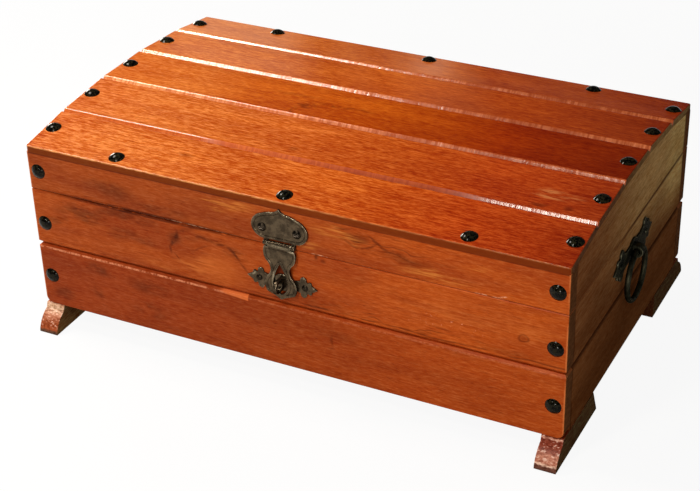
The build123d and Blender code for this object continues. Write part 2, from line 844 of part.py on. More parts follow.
def make_staple():
    """The plate on the case and the eye that stands out through the strap's slot."""
    face = long_wall_plane(FRONT, 0, z_staple)
    plate = fleur_plate(face, staple_reach, staple_boss_radius, staple_plate_thickness)
    with plate:
        drill(staple_pin_planes(staple_plate_thickness), pin_shank_radius, staple_plate_thickness)
    save(plate, "staple_plate")

    with BuildPart() as eye:
        with BuildSketch(Plane.YZ.offset(-eye_thickness / 2)):
            with Locations((-(half_depth + eye_standoff), z_staple)):
                Circle(eye_outer_radius)
            with Locations((-(half_depth + staple_plate_thickness), z_staple)):
                Rectangle(
                    eye_standoff - staple_plate_thickness,
                    2 * eye_outer_radius,
                    align=(Align.MAX, Align.CENTER),
                )
        extrude(amount=eye_thickness)
        rounded = eye.edges().filter_by(
            lambda e: e.center().Y < -(half_depth + staple_plate_thickness + 0.01)
            and abs(abs(e.center().X) - eye_thickness / 2) < 0.01
        )
        fillet(rounded, eye_thickness / 4)
        half = eye_thickness / 2
        barrel(-half, half, -(half_depth + eye_standoff), z_staple, eye_bore_radius, Mode.SUBTRACT)
    save(eye, "staple_eye")

    pins = domed_fasteners(
        staple_pin_planes(staple_plate_thickness),
        pin_head_radius,
        pin_head_height,
        pin_shank_radius,
        pin_shank_length,
    )
    save(pins, "staple_pins")


# ---- ring handles ----
def make_handle(side, name):
    """Fleur plate, a lug on it and the ring that swings in the lug."""
    face = end_wall_plane(side, 0, z_handle)
    plate = fleur_plate(face, handle_plate_reach, handle_boss_radius, handle_plate_thickness)
    with plate:
        drill(handle_pin_planes(side, handle_plate_thickness), pin_shank_radius, handle_plate_thickness)
    save(plate, f"{name}_handle_plate")

    bore = ring_rod_radius + ring_play
    lug_radius = bore + lug_wall
    with BuildPart() as lug:
        with BuildSketch(Plane.XZ.offset(-lug_width / 2)):
            with Locations((side * (half_length + ring_standoff), z_handle)):
                Circle(lug_radius)
            with Locations((side * (half_length + (handle_plate_thickness + ring_standoff) / 2), z_handle)):
                Rectangle(ring_standoff - handle_plate_thickness, 2 * lug_radius)
            with Locations((side * half_length, z_handle)):
                Rectangle(2 * handle_plate_thickness, 4 * lug_radius, mode=Mode.SUBTRACT)
            with Locations((side * (half_length + ring_standoff), z_handle)):
                Circle(bore, mode=Mode.SUBTRACT)
        extrude(amount=lug_width)
    save(lug, f"{name}_handle_lug")

    pins = domed_fasteners(
        handle_pin_planes(side, handle_plate_thickness),
        pin_head_radius,
        pin_head_height,
        pin_shank_radius,
        pin_shank_length,
    )
    save(pins, f"{name}_handle_pins")

    x_ring = side * (half_length + ring_standoff)
    z_ring = z_handle - ring_radius
    with BuildPart() as ring:
        with BuildSketch(Plane((x_ring, 0, z_ring), x_dir=(0, 1, 0), z_dir=(0, 0, 1))):
            with Locations((ring_radius, 0)):
                Circle(ring_rod_radius)
        revolve(axis=Axis((x_ring, 0, z_ring), (1, 0, 0)))
    save(ring, f"{name}_ring")


def make_domed_nails():
    groups = {}
    for side, name in ((FRONT, "front"), (BACK, "back")):
        case_planes = wall_nail_planes(side, lower_nail_z) + wall_nail_planes(side, upper_nail_z)
        groups[f"case_{name}_nails"] = (case_planes, wall_nail_length)
        groups[f"lid_{name}_nails"] = (wall_nail_planes(side, lid_nail_z), wall_nail_length)
    groups["lid_end_nails"] = (end_nail_planes, lid_nail_length)
    groups["lid_edge_nails"] = (front_edge_planes + back_edge_planes, lid_nail_length)
    for name, (planes, length) in groups.items():
        save(domed_fasteners(planes, dome_radius, dome_height, nail_shank_radius, length), name)


make_long_boards(FRONT, "front")
make_long_boards(BACK, "back")
make_end_boards(LEFT, "left")
make_end_boards(RIGHT, "right")
make_bottom_panel()
make_corner_posts()
make_feet()
make_foot_screws()
make_lid_rails()
make_lid_ends()
make_lid_rib()
make_slats()
make_hinges()
make_hasp()
make_staple()
make_handle(LEFT, "left")
make_handle(RIGHT, "right")
make_domed_nails()
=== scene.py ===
import json
import math

import bmesh
import bpy
import numpy as np
from mathutils import Matrix, Vector, noise

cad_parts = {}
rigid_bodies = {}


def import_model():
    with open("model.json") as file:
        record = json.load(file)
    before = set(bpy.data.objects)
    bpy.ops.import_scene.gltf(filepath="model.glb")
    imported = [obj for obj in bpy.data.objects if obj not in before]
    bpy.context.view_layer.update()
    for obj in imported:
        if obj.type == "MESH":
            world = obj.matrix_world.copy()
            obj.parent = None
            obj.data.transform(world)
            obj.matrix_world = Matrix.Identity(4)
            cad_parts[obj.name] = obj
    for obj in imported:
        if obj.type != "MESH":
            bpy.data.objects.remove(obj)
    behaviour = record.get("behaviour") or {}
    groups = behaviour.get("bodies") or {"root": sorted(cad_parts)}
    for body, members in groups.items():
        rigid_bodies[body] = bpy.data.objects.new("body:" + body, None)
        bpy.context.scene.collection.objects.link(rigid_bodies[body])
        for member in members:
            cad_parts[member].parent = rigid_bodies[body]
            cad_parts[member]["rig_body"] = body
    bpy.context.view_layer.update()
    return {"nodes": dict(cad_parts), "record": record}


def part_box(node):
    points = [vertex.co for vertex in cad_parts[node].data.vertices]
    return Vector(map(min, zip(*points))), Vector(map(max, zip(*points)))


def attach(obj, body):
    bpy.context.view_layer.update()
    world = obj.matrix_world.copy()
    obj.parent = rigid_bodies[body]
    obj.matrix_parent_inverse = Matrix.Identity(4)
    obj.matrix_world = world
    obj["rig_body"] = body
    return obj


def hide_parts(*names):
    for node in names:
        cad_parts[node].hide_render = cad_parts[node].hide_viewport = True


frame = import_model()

nodes = frame["nodes"]
MM = 0.001

# ---- places, from the frame, in metres ----
CHEST_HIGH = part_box("front_upper_board")[1]
HALF_LENGTH = CHEST_HIGH.x
FRONT_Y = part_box("front_upper_board")[0].y
COURSE_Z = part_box("front_upper_board")[0].z
RIM_Z = CHEST_HIGH.z
FOOT_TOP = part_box("front_foot_left")[1].z


# ---- node helpers ----
MIX_A, MIX_B, MIX_RESULT = 6, 7, 2  # the colour sockets of a Mix node
WEAR = "wear"  # the mesh attribute that add_wear stores
SOFT_CORE = 0.2  # how far out a soft spot or stroke has its full amount
ANY_DEPTH = 1000.0  # half depth of a stroke in metres, right through the board


def link(thing):
    bpy.context.scene.collection.objects.link(thing)


class Tree:
    """Builds the node tree of a material or world from calls that read like formulas."""

    def __init__(self, owner):
        self.owner = owner
        owner.use_nodes = True
        self.nodes = owner.node_tree.nodes
        self.links = owner.node_tree.links
        self.nodes.clear()

    def add(self, kind, inputs=None, **settings):
        made = self.nodes.new(kind)
        for key, value in settings.items():
            setattr(made, key, value)
        for key, value in (inputs or {}).items():
            self.plug(made.inputs[key], value)
        return made

    def plug(self, socket, value):
        if isinstance(value, bpy.types.NodeSocket):
            self.links.new(value, socket)
        elif socket.type == "RGBA":
            socket.default_value = (*value, 1)
        else:
            socket.default_value = value

    def math(self, operation, *values):
        return self.add("ShaderNodeMath", dict(enumerate(values)), operation=operation).outputs[0]

    def chain(self, operation, values):
        total = values[0]
        for value in values[1:]:
            total = self.math(operation, total, value)
        return total

    def times(self, *values):
        return self.chain("MULTIPLY", values)

    def plus(self, *values):
        return self.chain("ADD", values)

    def most(self, values):
        return self.chain("MAXIMUM", values)

    def mix(self, share, a, b, blend="MIX"):
        inputs = {0: share, MIX_A: a, MIX_B: b}
        made = self.add("ShaderNodeMix", inputs, data_type="RGBA", blend_type=blend)
        return made.outputs[MIX_RESULT]

    def tint(self, share, tone, colour):
        return self.mix(share, tone, colour, blend="MULTIPLY")

    def lined(self, tone, share):
        """The tone with a share of dark lines."""
        return self.tint(share, tone, LINE_TINT)

    def ramp(self, value, stops):
        made = self.add("ShaderNodeValToRGB", {0: value})
        band = made.color_ramp
        while len(band.elements) < len(stops):
            band.elements.new(0.5)
        for element, (place, colour) in zip(band.elements, stops):
            element.position = place
            element.color = (*colour, 1)
        return made.outputs[0]

    def fade(self, value, low, high, top=1.0):
        """0 at low and top at high, smooth between them. high may be the smaller one."""
        if low < high:
            inputs = {0: value, 1: low, 2: high, 3: 0.0, 4: top}
        else:
            inputs = {0: value, 1: high, 2: low, 3: top, 4: 0.0}
        made = self.add("ShaderNodeMapRange", inputs, interpolation_type="SMOOTHSTEP")
        return made.outputs[0]

    def noise(self, where, scale, detail=2.0, roughness=0.5, distortion=0.0):
        inputs = {"Vector": where, "Scale": scale, "Detail": detail, "Roughness": roughness}
        inputs["Distortion"] = distortion
        return self.add("ShaderNodeTexNoise", inputs).outputs["Fac"]

    def flecked(self, where, scale, low, high, top=1.0):
        """A share that comes and goes in small flecks."""
        return self.fade(self.noise(where, scale, detail=3.0, roughness=0.65), low, high, top)

    def place(self, where, move=(0, 0, 0), turn=(0, 0, 0), scale=(1, 1, 1)):
        """The same place, scaled, then turned, then moved."""
        inputs = {"Vector": where, "Location": move, "Rotation": turn, "Scale": scale}
        return self.add("ShaderNodeMapping", inputs).outputs[0]

    def here(self):
        return self.add("ShaderNodeTexCoord").outputs["Object"]

    def apart(self, where):
        made = self.add("ShaderNodeSeparateXYZ", {0: where})
        return tuple(made.outputs)

    def vector(self, operation, inputs):
        return self.add("ShaderNodeVectorMath", inputs, operation=operation).outputs

    def length(self, where):
        return self.vector("LENGTH", {0: where})["Value"]

    def wobbled(self, where, scale, amount):
        """The same place, moved about by noise."""
        drift = self.add("ShaderNodeTexNoise", {"Vector": where, "Scale": scale, "Detail": 2.0})
        centred = self.vector("SUBTRACT", {0: drift.outputs["Color"], 1: (0.5, 0.5, 0.5)})[0]
        scaled = self.vector("SCALE", {0: centred, "Scale": amount})[0]
        return self.vector("ADD", {0: where, 1: scaled})[0]

    def reach(self, where, centre, radii):
        """Distance from a centre in millimetres, measured in radii."""
        scale = [1 / (r * MM) if r else 0.0 for r in radii]
        move = [-c * MM * s for c, s in zip(centre, scale)]
        return self.length(self.place(where, move=move, scale=scale))

    def spot(self, where, centre, radii, amount=1.0, core=SOFT_CORE):
        """A soft spot: amount in its core and 0 at its edge."""
        return self.fade(self.reach(where, centre, radii), 1.0, core, amount)

    def front_spots(self, where, rows):
        """The strongest of several spots on the front: x, z, two radii and the amount of each."""
        return self.most([self.spot(where, (x, 0, z), (rx, 0, rz), a) for x, z, rx, rz, a in rows])

    def top_spots(self, where, rows):
        """The strongest of several spots on top: x, y, two radii and the amount of each."""
        return self.most([self.spot(where, (x, y, 0), (rx, ry, 0), a) for x, y, rx, ry, a in rows])

    def stroke(self, where, x, z, length, width, slant, amount=1.0):
        """A soft stroke on the front, by half its length and width, and its slant in degrees."""
        inputs = {
            "Vector": where,
            "Location": (x * MM, 0, z * MM),
            "Rotation": (0, -math.radians(slant), 0),
            "Scale": (length * MM, ANY_DEPTH, width * MM),
        }
        placed = self.add("ShaderNodeMapping", inputs, vector_type="TEXTURE").outputs[0]
        return self.fade(self.length(placed), 1.0, SOFT_CORE, amount)

    def strokes(self, where, rows):
        """The strongest of several strokes: x, z, half length, half width, slant and amount."""
        return self.most([self.stroke(where, *row) for row in rows])

    def line(self, distance, at, half_width, amount=1.0):
        """A soft line where a distance has the value at."""
        off = self.math("ABSOLUTE", self.math("SUBTRACT", distance, at))
        return self.fade(off, half_width, 0.0, amount)

    def knot(self, where, centre, radii, ring, heart, ring_width):
        """A knot: a soft ring, with the amount ring, around a soft heart."""
        away = self.reach(where, centre, radii)
        around = self.line(away, 0.9, ring_width, ring)
        return self.most([around, self.fade(away, 0.9, 0.3, heart)])

    def end_faces(self):
        """1 on faces that look along x and 0 on the others."""
        x, _, _ = self.apart(self.add("ShaderNodeTexCoord").outputs["Normal"])
        return self.fade(self.math("ABSOLUTE", x), 0.5, 0.85)

    def hued(self, tone, x, hues):
        """The tone with the tints, of stain and of painted light and shade, that it has from the
        chest's left end to its right end.
        """
        share = self.math("MULTIPLY_ADD", x, 0.5 / HALF_LENGTH, 0.5)
        return self.tint(1.0, tone, self.ramp(share, hues))

    def bump(self, height, distance, strength):
        inputs = {"Height": height, "Distance": distance, "Strength": strength}
        return self.add("ShaderNodeBump", inputs).outputs[0]

    def surface(self, tone, roughness, normal=None, **constants):
        """The shader itself, with its constants on its own sockets."""
        inputs = {"Base Color": tone, "Roughness": roughness}
        if normal is not None:
            inputs["Normal"] = normal
        shader = self.add("ShaderNodeBsdfPrincipled", inputs)
        for key, value in constants.items():
            self.plug(shader.inputs[key.replace("_", " ")], value)
        self.add("ShaderNodeOutputMaterial", {0: shader.outputs[0]})
        return self.owner


def material_tree(name):
    return Tree(bpy.data.materials.new(name))


def paint(names, material):
    for name in names:
        mesh = nodes[name].data
        mesh.materials.clear()
        mesh.materials.append(material)


# ---- wood ----
LID_LIGHT = (0.60, 0.150, 0.024)
LID_DARK = (0.47, 0.092, 0.011)
FRONT_HUES = (  # tints of the first two slats, from their left ends to their right ends: their stain, with painted light at the left and painted shade at the right
    (0.0, (1.0, 1.1, 1.3)), (0.15, (1.02, 1.13, 1.2)),
    (0.3, (1.01, 1.02, 0.9)), (0.6, (1.0, 0.78, 0.40)),
    (0.8, (0.88, 0.46, 0.22)), (0.92, (0.80, 0.40, 0.20)),
    (1.0, (0.62, 0.28, 0.16)),
)
MIDDLE_HUES = (  # of the third slat, also with painted light at the left and painted shade at the right
    (0.0, (1.0, 1.1, 1.2)), (0.15, (1.03, 1.14, 1.05)),
    (0.28, (0.85, 0.69, 0.26)), (0.52, (0.90, 0.66, 0.15)),
    (0.76, (0.62, 0.25, 0.05)), (1.0, (0.42, 0.155, 0.05)),
)
BACK_HUES = (  # of the last two slats, also with painted light at the left and painted shade at the right
    (0.0, (1.0, 1.1, 1.0)), (0.35, (0.97, 0.84, 0.42)),
    (0.52, (1.04, 0.80, 0.30)), (0.64, (0.82, 0.48, 0.18)),
    (0.85, (0.78, 0.42, 0.14)), (1.0, (0.56, 0.24, 0.08)),
)
SHEEN_BANDS = (  # painted sheen, a painted reflection on the varnish of the last two slats, in bands from their left ends
    (0.0, 0.55), (0.32, 0.50), (0.36, 0.0), (0.41, 0.60), (0.45, 0.20), (0.49, 0.85),
    (0.58, 0.85), (0.63, 0.15), (0.78, 0.30), (0.92, 0.0),
)
EDGE_HUES = (  # of the chamfers, with painted sheen that is palest at their left ends
    (0.0, (1.0, 1.0, 1.0)), (0.38, (0.95, 0.80, 0.70)),
    (0.55, (0.74, 0.50, 0.40)), (0.80, (0.62, 0.38, 0.30)),
    (1.0, (0.74, 0.50, 0.42)),
)
# painted highlight on the upper front edge of the first slat
EDGE_GLINT = (0.66, 0.27, 0.085)
# the chamfers' tones: pale as thinly stained wood, and as a painted sheen
EDGE_LIGHT = (0.84, 0.33, 0.12)
EDGE_DARK = (0.56, 0.15, 0.035)
END_GRAIN = (0.15, 0.055, 0.018)
END_GRAIN_LIGHT = (0.22, 0.084, 0.029)
BOARD_HUES = (  # of the front and back boards, with painted shade that darkens their left ends
    (0.0, (0.88, 0.84, 0.85)), (0.35, (0.86, 0.82, 0.80)),
    (0.65, (0.94, 0.86, 0.75)), (0.85, (1.0, 0.93, 0.78)),
    (1.0, (1.0, 0.95, 0.80)),
)
UPPER_LIGHT = (0.60, 0.118, 0.018)
UPPER_DARK = (0.43, 0.072, 0.013)
LOWER_LIGHT = (0.51, 0.090, 0.014)
LOWER_DARK = (0.40, 0.066, 0.011)
END_LIGHT = (0.42, 0.165, 0.060)
END_DARK = (0.28, 0.100, 0.034)
FOOT_LIGHT = (0.38, 0.075, 0.026)
FOOT_DARK = (0.24, 0.042, 0.015)
LEFT_NOSE_PAINTED_LIGHT = (  # painted light and shade on the nose of a left foot, from the floor to its top
    (0.0, (0.10, 0.045, 0.022)), (0.11, (0.13, 0.050, 0.025)),
    (0.18, (0.36, 0.075, 0.022)), (0.42, (0.33, 0.080, 0.028)),
    (0.62, (0.48, 0.185, 0.105)), (0.82, (0.72, 0.47, 0.31)),
    (1.0, (0.74, 0.43, 0.27)),
)
RIGHT_NOSE_PAINTED_LIGHT = (  # and of a right foot, with lines of painted highlight
    (0.0, (0.12, 0.045, 0.030)), (0.17, (0.18, 0.065, 0.042)),
    (0.22, (0.98, 0.66, 0.52)), (0.28, (0.52, 0.19, 0.12)),
    (0.50, (0.56, 0.22, 0.14)), (0.62, (0.29, 0.060, 0.030)),
    (0.88, (0.25, 0.045, 0.022)), (0.94, (0.76, 0.38, 0.28)),
    (1.0, (0.25, 0.050, 0.020)),
)
BARE_LIGHT = (0.72, 0.50, 0.26)
BARE_DARK = (0.56, 0.34, 0.14)
FIBRE_DARK = (0.74, 0.48, 0.22)
# pale fibres, with painted glints of the varnish, added onto the wood's tone
PALE_FIBRE_AND_GLINT = (0.12, 0.068, 0.030)
PORE_TINT = (0.36, 0.24, 0.20)
SMUDGE_TINT = (0.40, 0.44, 0.55)
LINE_TINT = (0.22, 0.16, 0.18)
# painted light on the slats' cut ends, towards the back
PAINTED_CUT_LIGHT = (2.1, 3.2, 3.6)
FRONT_FACE = (0.19, 0.033, 0.005)
SUNNY_STREAK = (0.80, 0.32, 0.10)
# painted sheen, a painted reflection on the last two slats
PAINTED_SHEEN = (0.66, 0.215, 0.07)
# painted highlight on the upright corners of the long boards
CORNER_HIGHLIGHT = (0.80, 0.24, 0.07)
# painted shade on the left part of the lid's front rail
RAIL_LEFT_SHADE = (0.86, 0.88, 1.0)
RAIL_STREAK = (0.78, 0.26, 0.05)
# painted glints along the seam of the lid's front rail
PAINTED_SEAM_GLINT = (0.95, 0.48, 0.28)
UPPER_STREAK = (0.78, 0.22, 0.05)
UPPER_GLOW = (0.84, 0.20, 0.035)
SPECK = (0.90, 0.45, 0.25)
CHIP = (0.86, 0.21, 0.05)
# painted shade on the left part of the lower front board
LOWER_LEFT_SHADE = (0.88, 0.80, 0.92)
# rubbed edge with a painted highlight, on the lower front board's upper edge
RUBBED_EDGE_HIGHLIGHT = (0.88, 0.33, 0.17)
LOW_WALL_TINT = (0.62, 0.55, 0.46)
# painted light on the right end wall, towards its back and its upper corner
PAINTED_BACK_LIGHT = (2.3, 3.7, 4.2)
PAINTED_CORNER_LIGHT = (1.30, 1.46, 1.44)
NOSE_PORE_TINT = (0.45, 0.30, 0.24)
# painted glints on the nose of a foot
NOSE_GLINT = (0.98, 0.68, 0.56)
FOOT_SIDE_TINT = (0.50, 1.25, 1.2)
# painted shade on the inner end of a foot
FOOT_INNER_SHADE = (0.28, 0.36, 0.30)
SEED_STEPS = (0.371, 0.173, 0.291)  # metres between the pieces of grain of two seeds
CUT_SEED_STEP = 0.37

# where looks begin and where they are whole, in metres
SLAT_END_Z = (0.144, 0.146)
SLAT_FACE_Y = (FRONT_Y + 0.0004, FRONT_Y + 0.0001)
SLAT_GLINT_Y = (FRONT_Y + 0.0009, FRONT_Y + 0.0005)
SLAT_GLINT_Z = (0.1459, 0.1464)
BOARD_FACE_Y = (FRONT_Y + 0.0032, FRONT_Y + 0.0024)
CORNER_X = (HALF_LENGTH - 0.0016, HALF_LENGTH - 0.0006)
RAIL_TOP_Z = (0.1408, 0.1416)
FIGURE_LINE_Z = 0.0728
CHIP_LEFT, CHIP_RIGHT = (-0.053, -0.045), (-0.0275, -0.0285)
CHIP_LOW = (0.0614, 0.0621)
# where the rubbed edge with its painted highlight begins and is whole
HIGHLIT_EDGE_LOW, HIGHLIT_EDGE_HIGH = (0.0652, 0.0658), (0.0672, 0.0666)
END_JOINT_Y = 0.1118
END_JOINT_WIDTH, COURSE_JOINT_WIDTH = 0.0016, 0.0024  # half of it
NOSE_Y = (-FRONT_Y - 0.0012, -FRONT_Y - 0.0002)
# where the painted shade on a foot's inner end begins and is whole
FOOT_SHADE_Y = (0.088, 0.080)
RAIL_SEAM_MM, BOARD_SEAM_MM = 113.4, 113.0  # height of the seam on the rail and the board


def stained(
    name, seed, light, dark, along="x", grain=1.0, rough=0.30,
    specular=0.22, relief=0.5, marks=None, hues=None,
):
    """Stained and varnished softwood with its grain along one axis."""
    t = material_tree(name)
    here = t.here()
    move = [seed * step for step in SEED_STEPS]

    def drawn(across):
        """The place, for noise that is drawn out along the grain."""
        stretch = [1 if axis == along else across for axis in "xyz"]
        return t.place(here, move=move, scale=stretch)

    clouds = t.noise(drawn(4), 9.0, detail=3.0, roughness=0.55)
    figure = t.noise(drawn(14), 14.0, detail=4.0, roughness=0.6, distortion=0.3)
    fibres = t.noise(drawn(11), 38.0, detail=4.0, roughness=0.76)
    threads = t.noise(drawn(6.5), 150.0, detail=3.0, roughness=0.7)
    pores = t.noise(drawn(8), 150.0, detail=2.0, roughness=0.6)

    tone = t.mix(t.fade(clouds, 0.36, 0.64), light, dark)
    tone = t.mix(t.fade(figure, 0.44, 0.72, 0.55), tone, dark)
    tone = t.tint(t.fade(fibres, 0.52, 0.34, grain * 0.7), tone, FIBRE_DARK)
    # pale fibres and painted glints, added onto the tone
    tone = t.mix(t.fade(fibres, 0.50, 0.68, grain * 0.6), tone, PALE_FIBRE_AND_GLINT, blend="ADD")
    tone = t.tint(t.fade(threads, 0.53, 0.36, grain), tone, FIBRE_DARK)
    tone = t.mix(t.fade(threads, 0.50, 0.66, grain), tone, PALE_FIBRE_AND_GLINT, blend="ADD")
    tone = t.tint(t.fade(pores, 0.60, 0.74, 0.45), tone, PORE_TINT)
    if hues:
        x, _, _ = t.apart(here)
        tone = t.hued(tone, x, hues)
    if marks:
        tone = marks(t, here, tone)
    ends = t.end_faces()
    if along == "x":
        tone = t.mix(ends, tone, end_grain(t, here, move))
    roughness = t.plus(t.times(fibres, 0.16), rough - 0.08)
    height = t.plus(t.times(threads, 0.7), t.times(pores, -0.6))
    normal = t.bump(height, 0.00025, relief)
    return t.surface(tone, t.most([roughness, ends]), normal, Specular_IOR_Level=specular)


def end_grain(t, here, move):
    """The tone of a cut end: dark, with painted light that makes it paler towards the back on the
    slats.
    """
    _, y, z = t.apart(here)
    rings = t.noise(t.place(here, move=move, scale=(1, 1, 2.5)), 190.0, detail=3.0, roughness=0.65)
    tone = t.mix(t.fade(rings, 0.38, 0.62), END_GRAIN, END_GRAIN_LIGHT)
    # painted light, paler towards the back
    paler = t.times(t.fade(y, -0.06, 0.06), t.fade(z, *SLAT_END_Z))
    return t.tint(paler, tone, PAINTED_CUT_LIGHT)


def cut_edge(name, seed, light, dark, dull):
    """A slat's chamfer: paler, as thinly stained wood with a painted sheen, and glossier, with the
    short marks that the cutter left across it.
    """
    t = material_tree(name)
    here = t.here()
    x, _, _ = t.apart(here)
    across = t.place(here, move=(seed * CUT_SEED_STEP, 0, 0), scale=(1, 0.16, 0.16))
    cuts = t.noise(across, 430.0, detail=2.0, roughness=0.6)
    slow = t.noise(across, 60.0, detail=2.0)
    tone = t.mix(t.fade(cuts, 0.36, 0.64), dark, light)
    tone = t.mix(t.fade(slow, 0.55, 0.30, 0.6), tone, dark)
    # painted sheen, palest at the left ends
    tone = t.hued(tone, x, EDGE_HUES)
    normal = t.bump(t.plus(cuts, slow), 0.0006, 0.5)
    roughness = t.plus(t.times(cuts, 0.28), 0.08)
    if dull:
        middle = t.times(t.fade(x, -0.10, -0.06), t.fade(x, 0.15, 0.08))
        roughness = t.most([roughness, middle])
    return t.surface(tone, roughness, normal, Specular_IOR_Level=0.8)


# ---- marks, each a function of the tree, the place and the tone so far ----
def slat_1_marks(t, here, tone):
    """The dark front face of the first slat, with a painted highlight on its upper edge."""
    near = t.wobbled(here, 60.0, 0.010)
    x, y, z = t.apart(here)
    tone = t.lined(tone, t.spot(near, (-86, -96, 0), (8, 3, 0), 0.4))
    tone = t.mix(t.fade(y, *SLAT_FACE_Y, 0.9), tone, FRONT_FACE)
    # painted highlight along the upper front edge
    edge = t.times(t.fade(y, *SLAT_GLINT_Y), t.fade(z, *SLAT_GLINT_Z))
    glint = t.times(edge, t.plus(t.fade(x, 0.10, -0.05, 0.65), 0.35))
    patchy = t.flecked(t.place(here, scale=(1, 5, 5)), 160.0, 0.30, 0.60, 0.8)
    return t.mix(t.times(glint, patchy), tone, EDGE_GLINT)


def slat_2_marks(t, here, tone):
    """Knots and a sunny streak on the second slat."""
    near = t.wobbled(here, 60.0, 0.010)
    knots = t.top_spots(near, (
        (158, -68, 9, 3, 0.6), (177, -69, 6, 4, 0.5),
        (-20, -66, 6, 4, 0.35),
    ))
    tone = t.lined(tone, knots)
    streaks = t.flecked(t.place(here, scale=(1, 6, 6)), 60.0, 0.42, 0.66, 0.55)
    sunny = t.times(streaks, t.spot(near, (165, -56, 0), (22, 8, 0)))
    return t.mix(sunny, tone, SUNNY_STREAK)


def slat_3_marks(t, here, tone):
    """A dark blotch on the middle of the third slat."""
    near = t.wobbled(here, 60.0, 0.010)
    blotch = t.top_spots(near, (
        (-39, -8, 12, 7, 0.60), (-46, -18, 3, 11, 0.50),
        (-12, -1, 36, 3, 0.40), (-52, 5, 30, 3, 0.25),
    ))
    return t.lined(tone, t.times(blotch, t.flecked(here, 130.0, 0.30, 0.55)))


def painted_sheen_bands(amount):
    """Slanting bands of painted sheen, a painted reflection on the varnish, by an amount."""

    def marks(t, here, tone):
        x, y, _ = t.apart(t.wobbled(here, 18.0, 0.012))
        slanted = t.plus(t.times(x, 2.0), t.times(y, 1.25))
        stops = [(place, (share,) * 3) for place, share in SHEEN_BANDS]
        bands = t.ramp(t.plus(slanted, 0.4), stops)
        # painted sheen in slanting bands
        return t.mix(t.times(bands, amount), tone, PAINTED_SHEEN)

    return marks


def outside(marks):
    """The same marks, only on the outer face of a board at the front."""

    def kept(t, here, tone):
        _, y, _ = t.apart(here)
        out = t.fade(y, *BOARD_FACE_Y)
        return painted_corner_highlight(t, here, t.mix(out, tone, marks(t, here, tone)))

    return kept


def back_marks(t, here, tone):
    """Soft smudges and a knot or two on a board at the back."""
    near = t.wobbled(here, 34.0, 0.014)
    smudges = t.noise(t.place(here, scale=(1, 1, 2.5)), 26.0, detail=4.0, roughness=0.65)
    tone = t.tint(t.fade(smudges, 0.56, 0.72, 0.6), tone, SMUDGE_TINT)
    centres = ((-58, 0, 52), (118, 0, 91), (36, 0, 126))
    knots = t.most([t.knot(near, centre, (4.6, 0, 3.2), 0.5, 0.4, 0.5) for centre in centres])
    tone = t.lined(tone, knots)
    return painted_corner_highlight(t, here, tone)


def painted_corner_highlight(t, here, tone):
    """Painted highlights on the upright corners at the ends of a long board."""
    x, _, _ = t.apart(here)
    # painted highlight along the corner
    out = t.fade(t.math("ABSOLUTE", x), *CORNER_X)
    patchy = t.flecked(t.place(here, scale=(1, 1, 0.4)), 160.0, 0.30, 0.55, 0.7)
    return t.mix(t.times(out, patchy), tone, CORNER_HIGHLIGHT)


def smudged(t, here, tone, spots):
    """The tone with grey smudges, broken up along the grain."""
    share = t.times(spots, t.flecked(t.place(here, scale=(1, 1, 2.5)), 70.0, 0.28, 0.56))
    return t.tint(share, tone, SMUDGE_TINT)


def threaded(t, tone, pattern, low, amount, beside):
    """The tone with the fine dark threads of a noise pattern, beside a place."""
    return t.lined(tone, t.times(t.fade(pattern, low, 0.66, amount), beside))


def seam(t, here, height):
    """Share of the dark seam between the lid and the case, on its left half."""
    rough = t.flecked(t.place(here, scale=(1, 1, 3)), 120.0, 0.28, 0.48, 0.9)
    return t.times(t.spot(here, (-105, 0, height), (105, 0, 2.6), core=0.4), rough)


def rail_marks(t, here, tone):
    """Swirl, pale streaks, dark threads, painted shade on its left part and painted glints along
    its seam, on the front rail of the lid.
    """
    near = t.wobbled(here, 38.0, 0.016)
    x, _, z = t.apart(here)
    # painted shade, darker on the left part
    tone = t.tint(t.fade(x, 0.12, 0.02), tone, RAIL_LEFT_SHADE)
    swirl = t.strokes(near, (
        (68, 134, 11, 2.0, -38, 0.65), (63, 129, 10, 1.8, 24, 0.60),
        (74, 130, 9, 1.8, -30, 0.55), (48, 138, 10, 1.8, 22, 0.50),
        (52, 128, 13, 2.0, -8, 0.45), (88, 128, 15, 2.2, -8, 0.40),
    ))
    swirl = t.times(swirl, t.flecked(here, 110.0, 0.26, 0.52))
    swirl = t.most([swirl, t.stroke(near, 56, 134, 11, 5, 10, 0.62)])
    tone = t.lined(tone, swirl)
    threads = t.noise(t.place(near, scale=(9, 1, 200)), 1.6, detail=3.0)
    beside = t.spot(here, (92, 0, 131), (70, 0, 14))
    tone = threaded(t, tone, threads, 0.52, 0.5, beside)
    tone = t.tint(t.spot(near, (92, 0, 126), (26, 0, 6), 0.5), tone, SMUDGE_TINT)
    dim = t.front_spots(near, ((-132, 126, 30, 9, 0.6), (-92, 120, 30, 6, 0.5)))
    tone = smudged(t, here, tone, dim)
    slanted = t.place(here, turn=(0, 0.28, 0), scale=(1, 1, 14))
    streaks = t.flecked(slanted, 42.0, 0.42, 0.64)
    pale = t.front_spots(near, (
        (-42, 136, 30, 7, 0.8), (42, 133, 26, 8, 0.7),
        (112, 119, 36, 6, 0.7), (138, 131, 12, 4, 0.9),
        (20, 120, 14, 5, 0.5),
    ))
    tone = t.mix(t.times(pale, streaks), tone, RAIL_STREAK)
    tone = t.lined(tone, seam(t, here, RAIL_SEAM_MM))
    # painted glints along the seam
    painted_seam_glints = t.strokes(here, (
        (28, 113.8, 9, 1.0, 0), (62, 113.7, 4, 0.8, 0),
        (146, 113.7, 16, 0.9, 0), (-70, 113.8, 40, 0.8, 0, 0.6),
        (156, 115, 5, 0.8, 20),
    ))
    painted_seam_glints = t.times(painted_seam_glints, t.flecked(t.place(here, scale=(1, 1, 3)), 260.0, 0.44, 0.60))
    tone = t.mix(painted_seam_glints, tone, PAINTED_SEAM_GLINT)
    return t.lined(tone, t.fade(z, *RAIL_TOP_Z, 0.75))


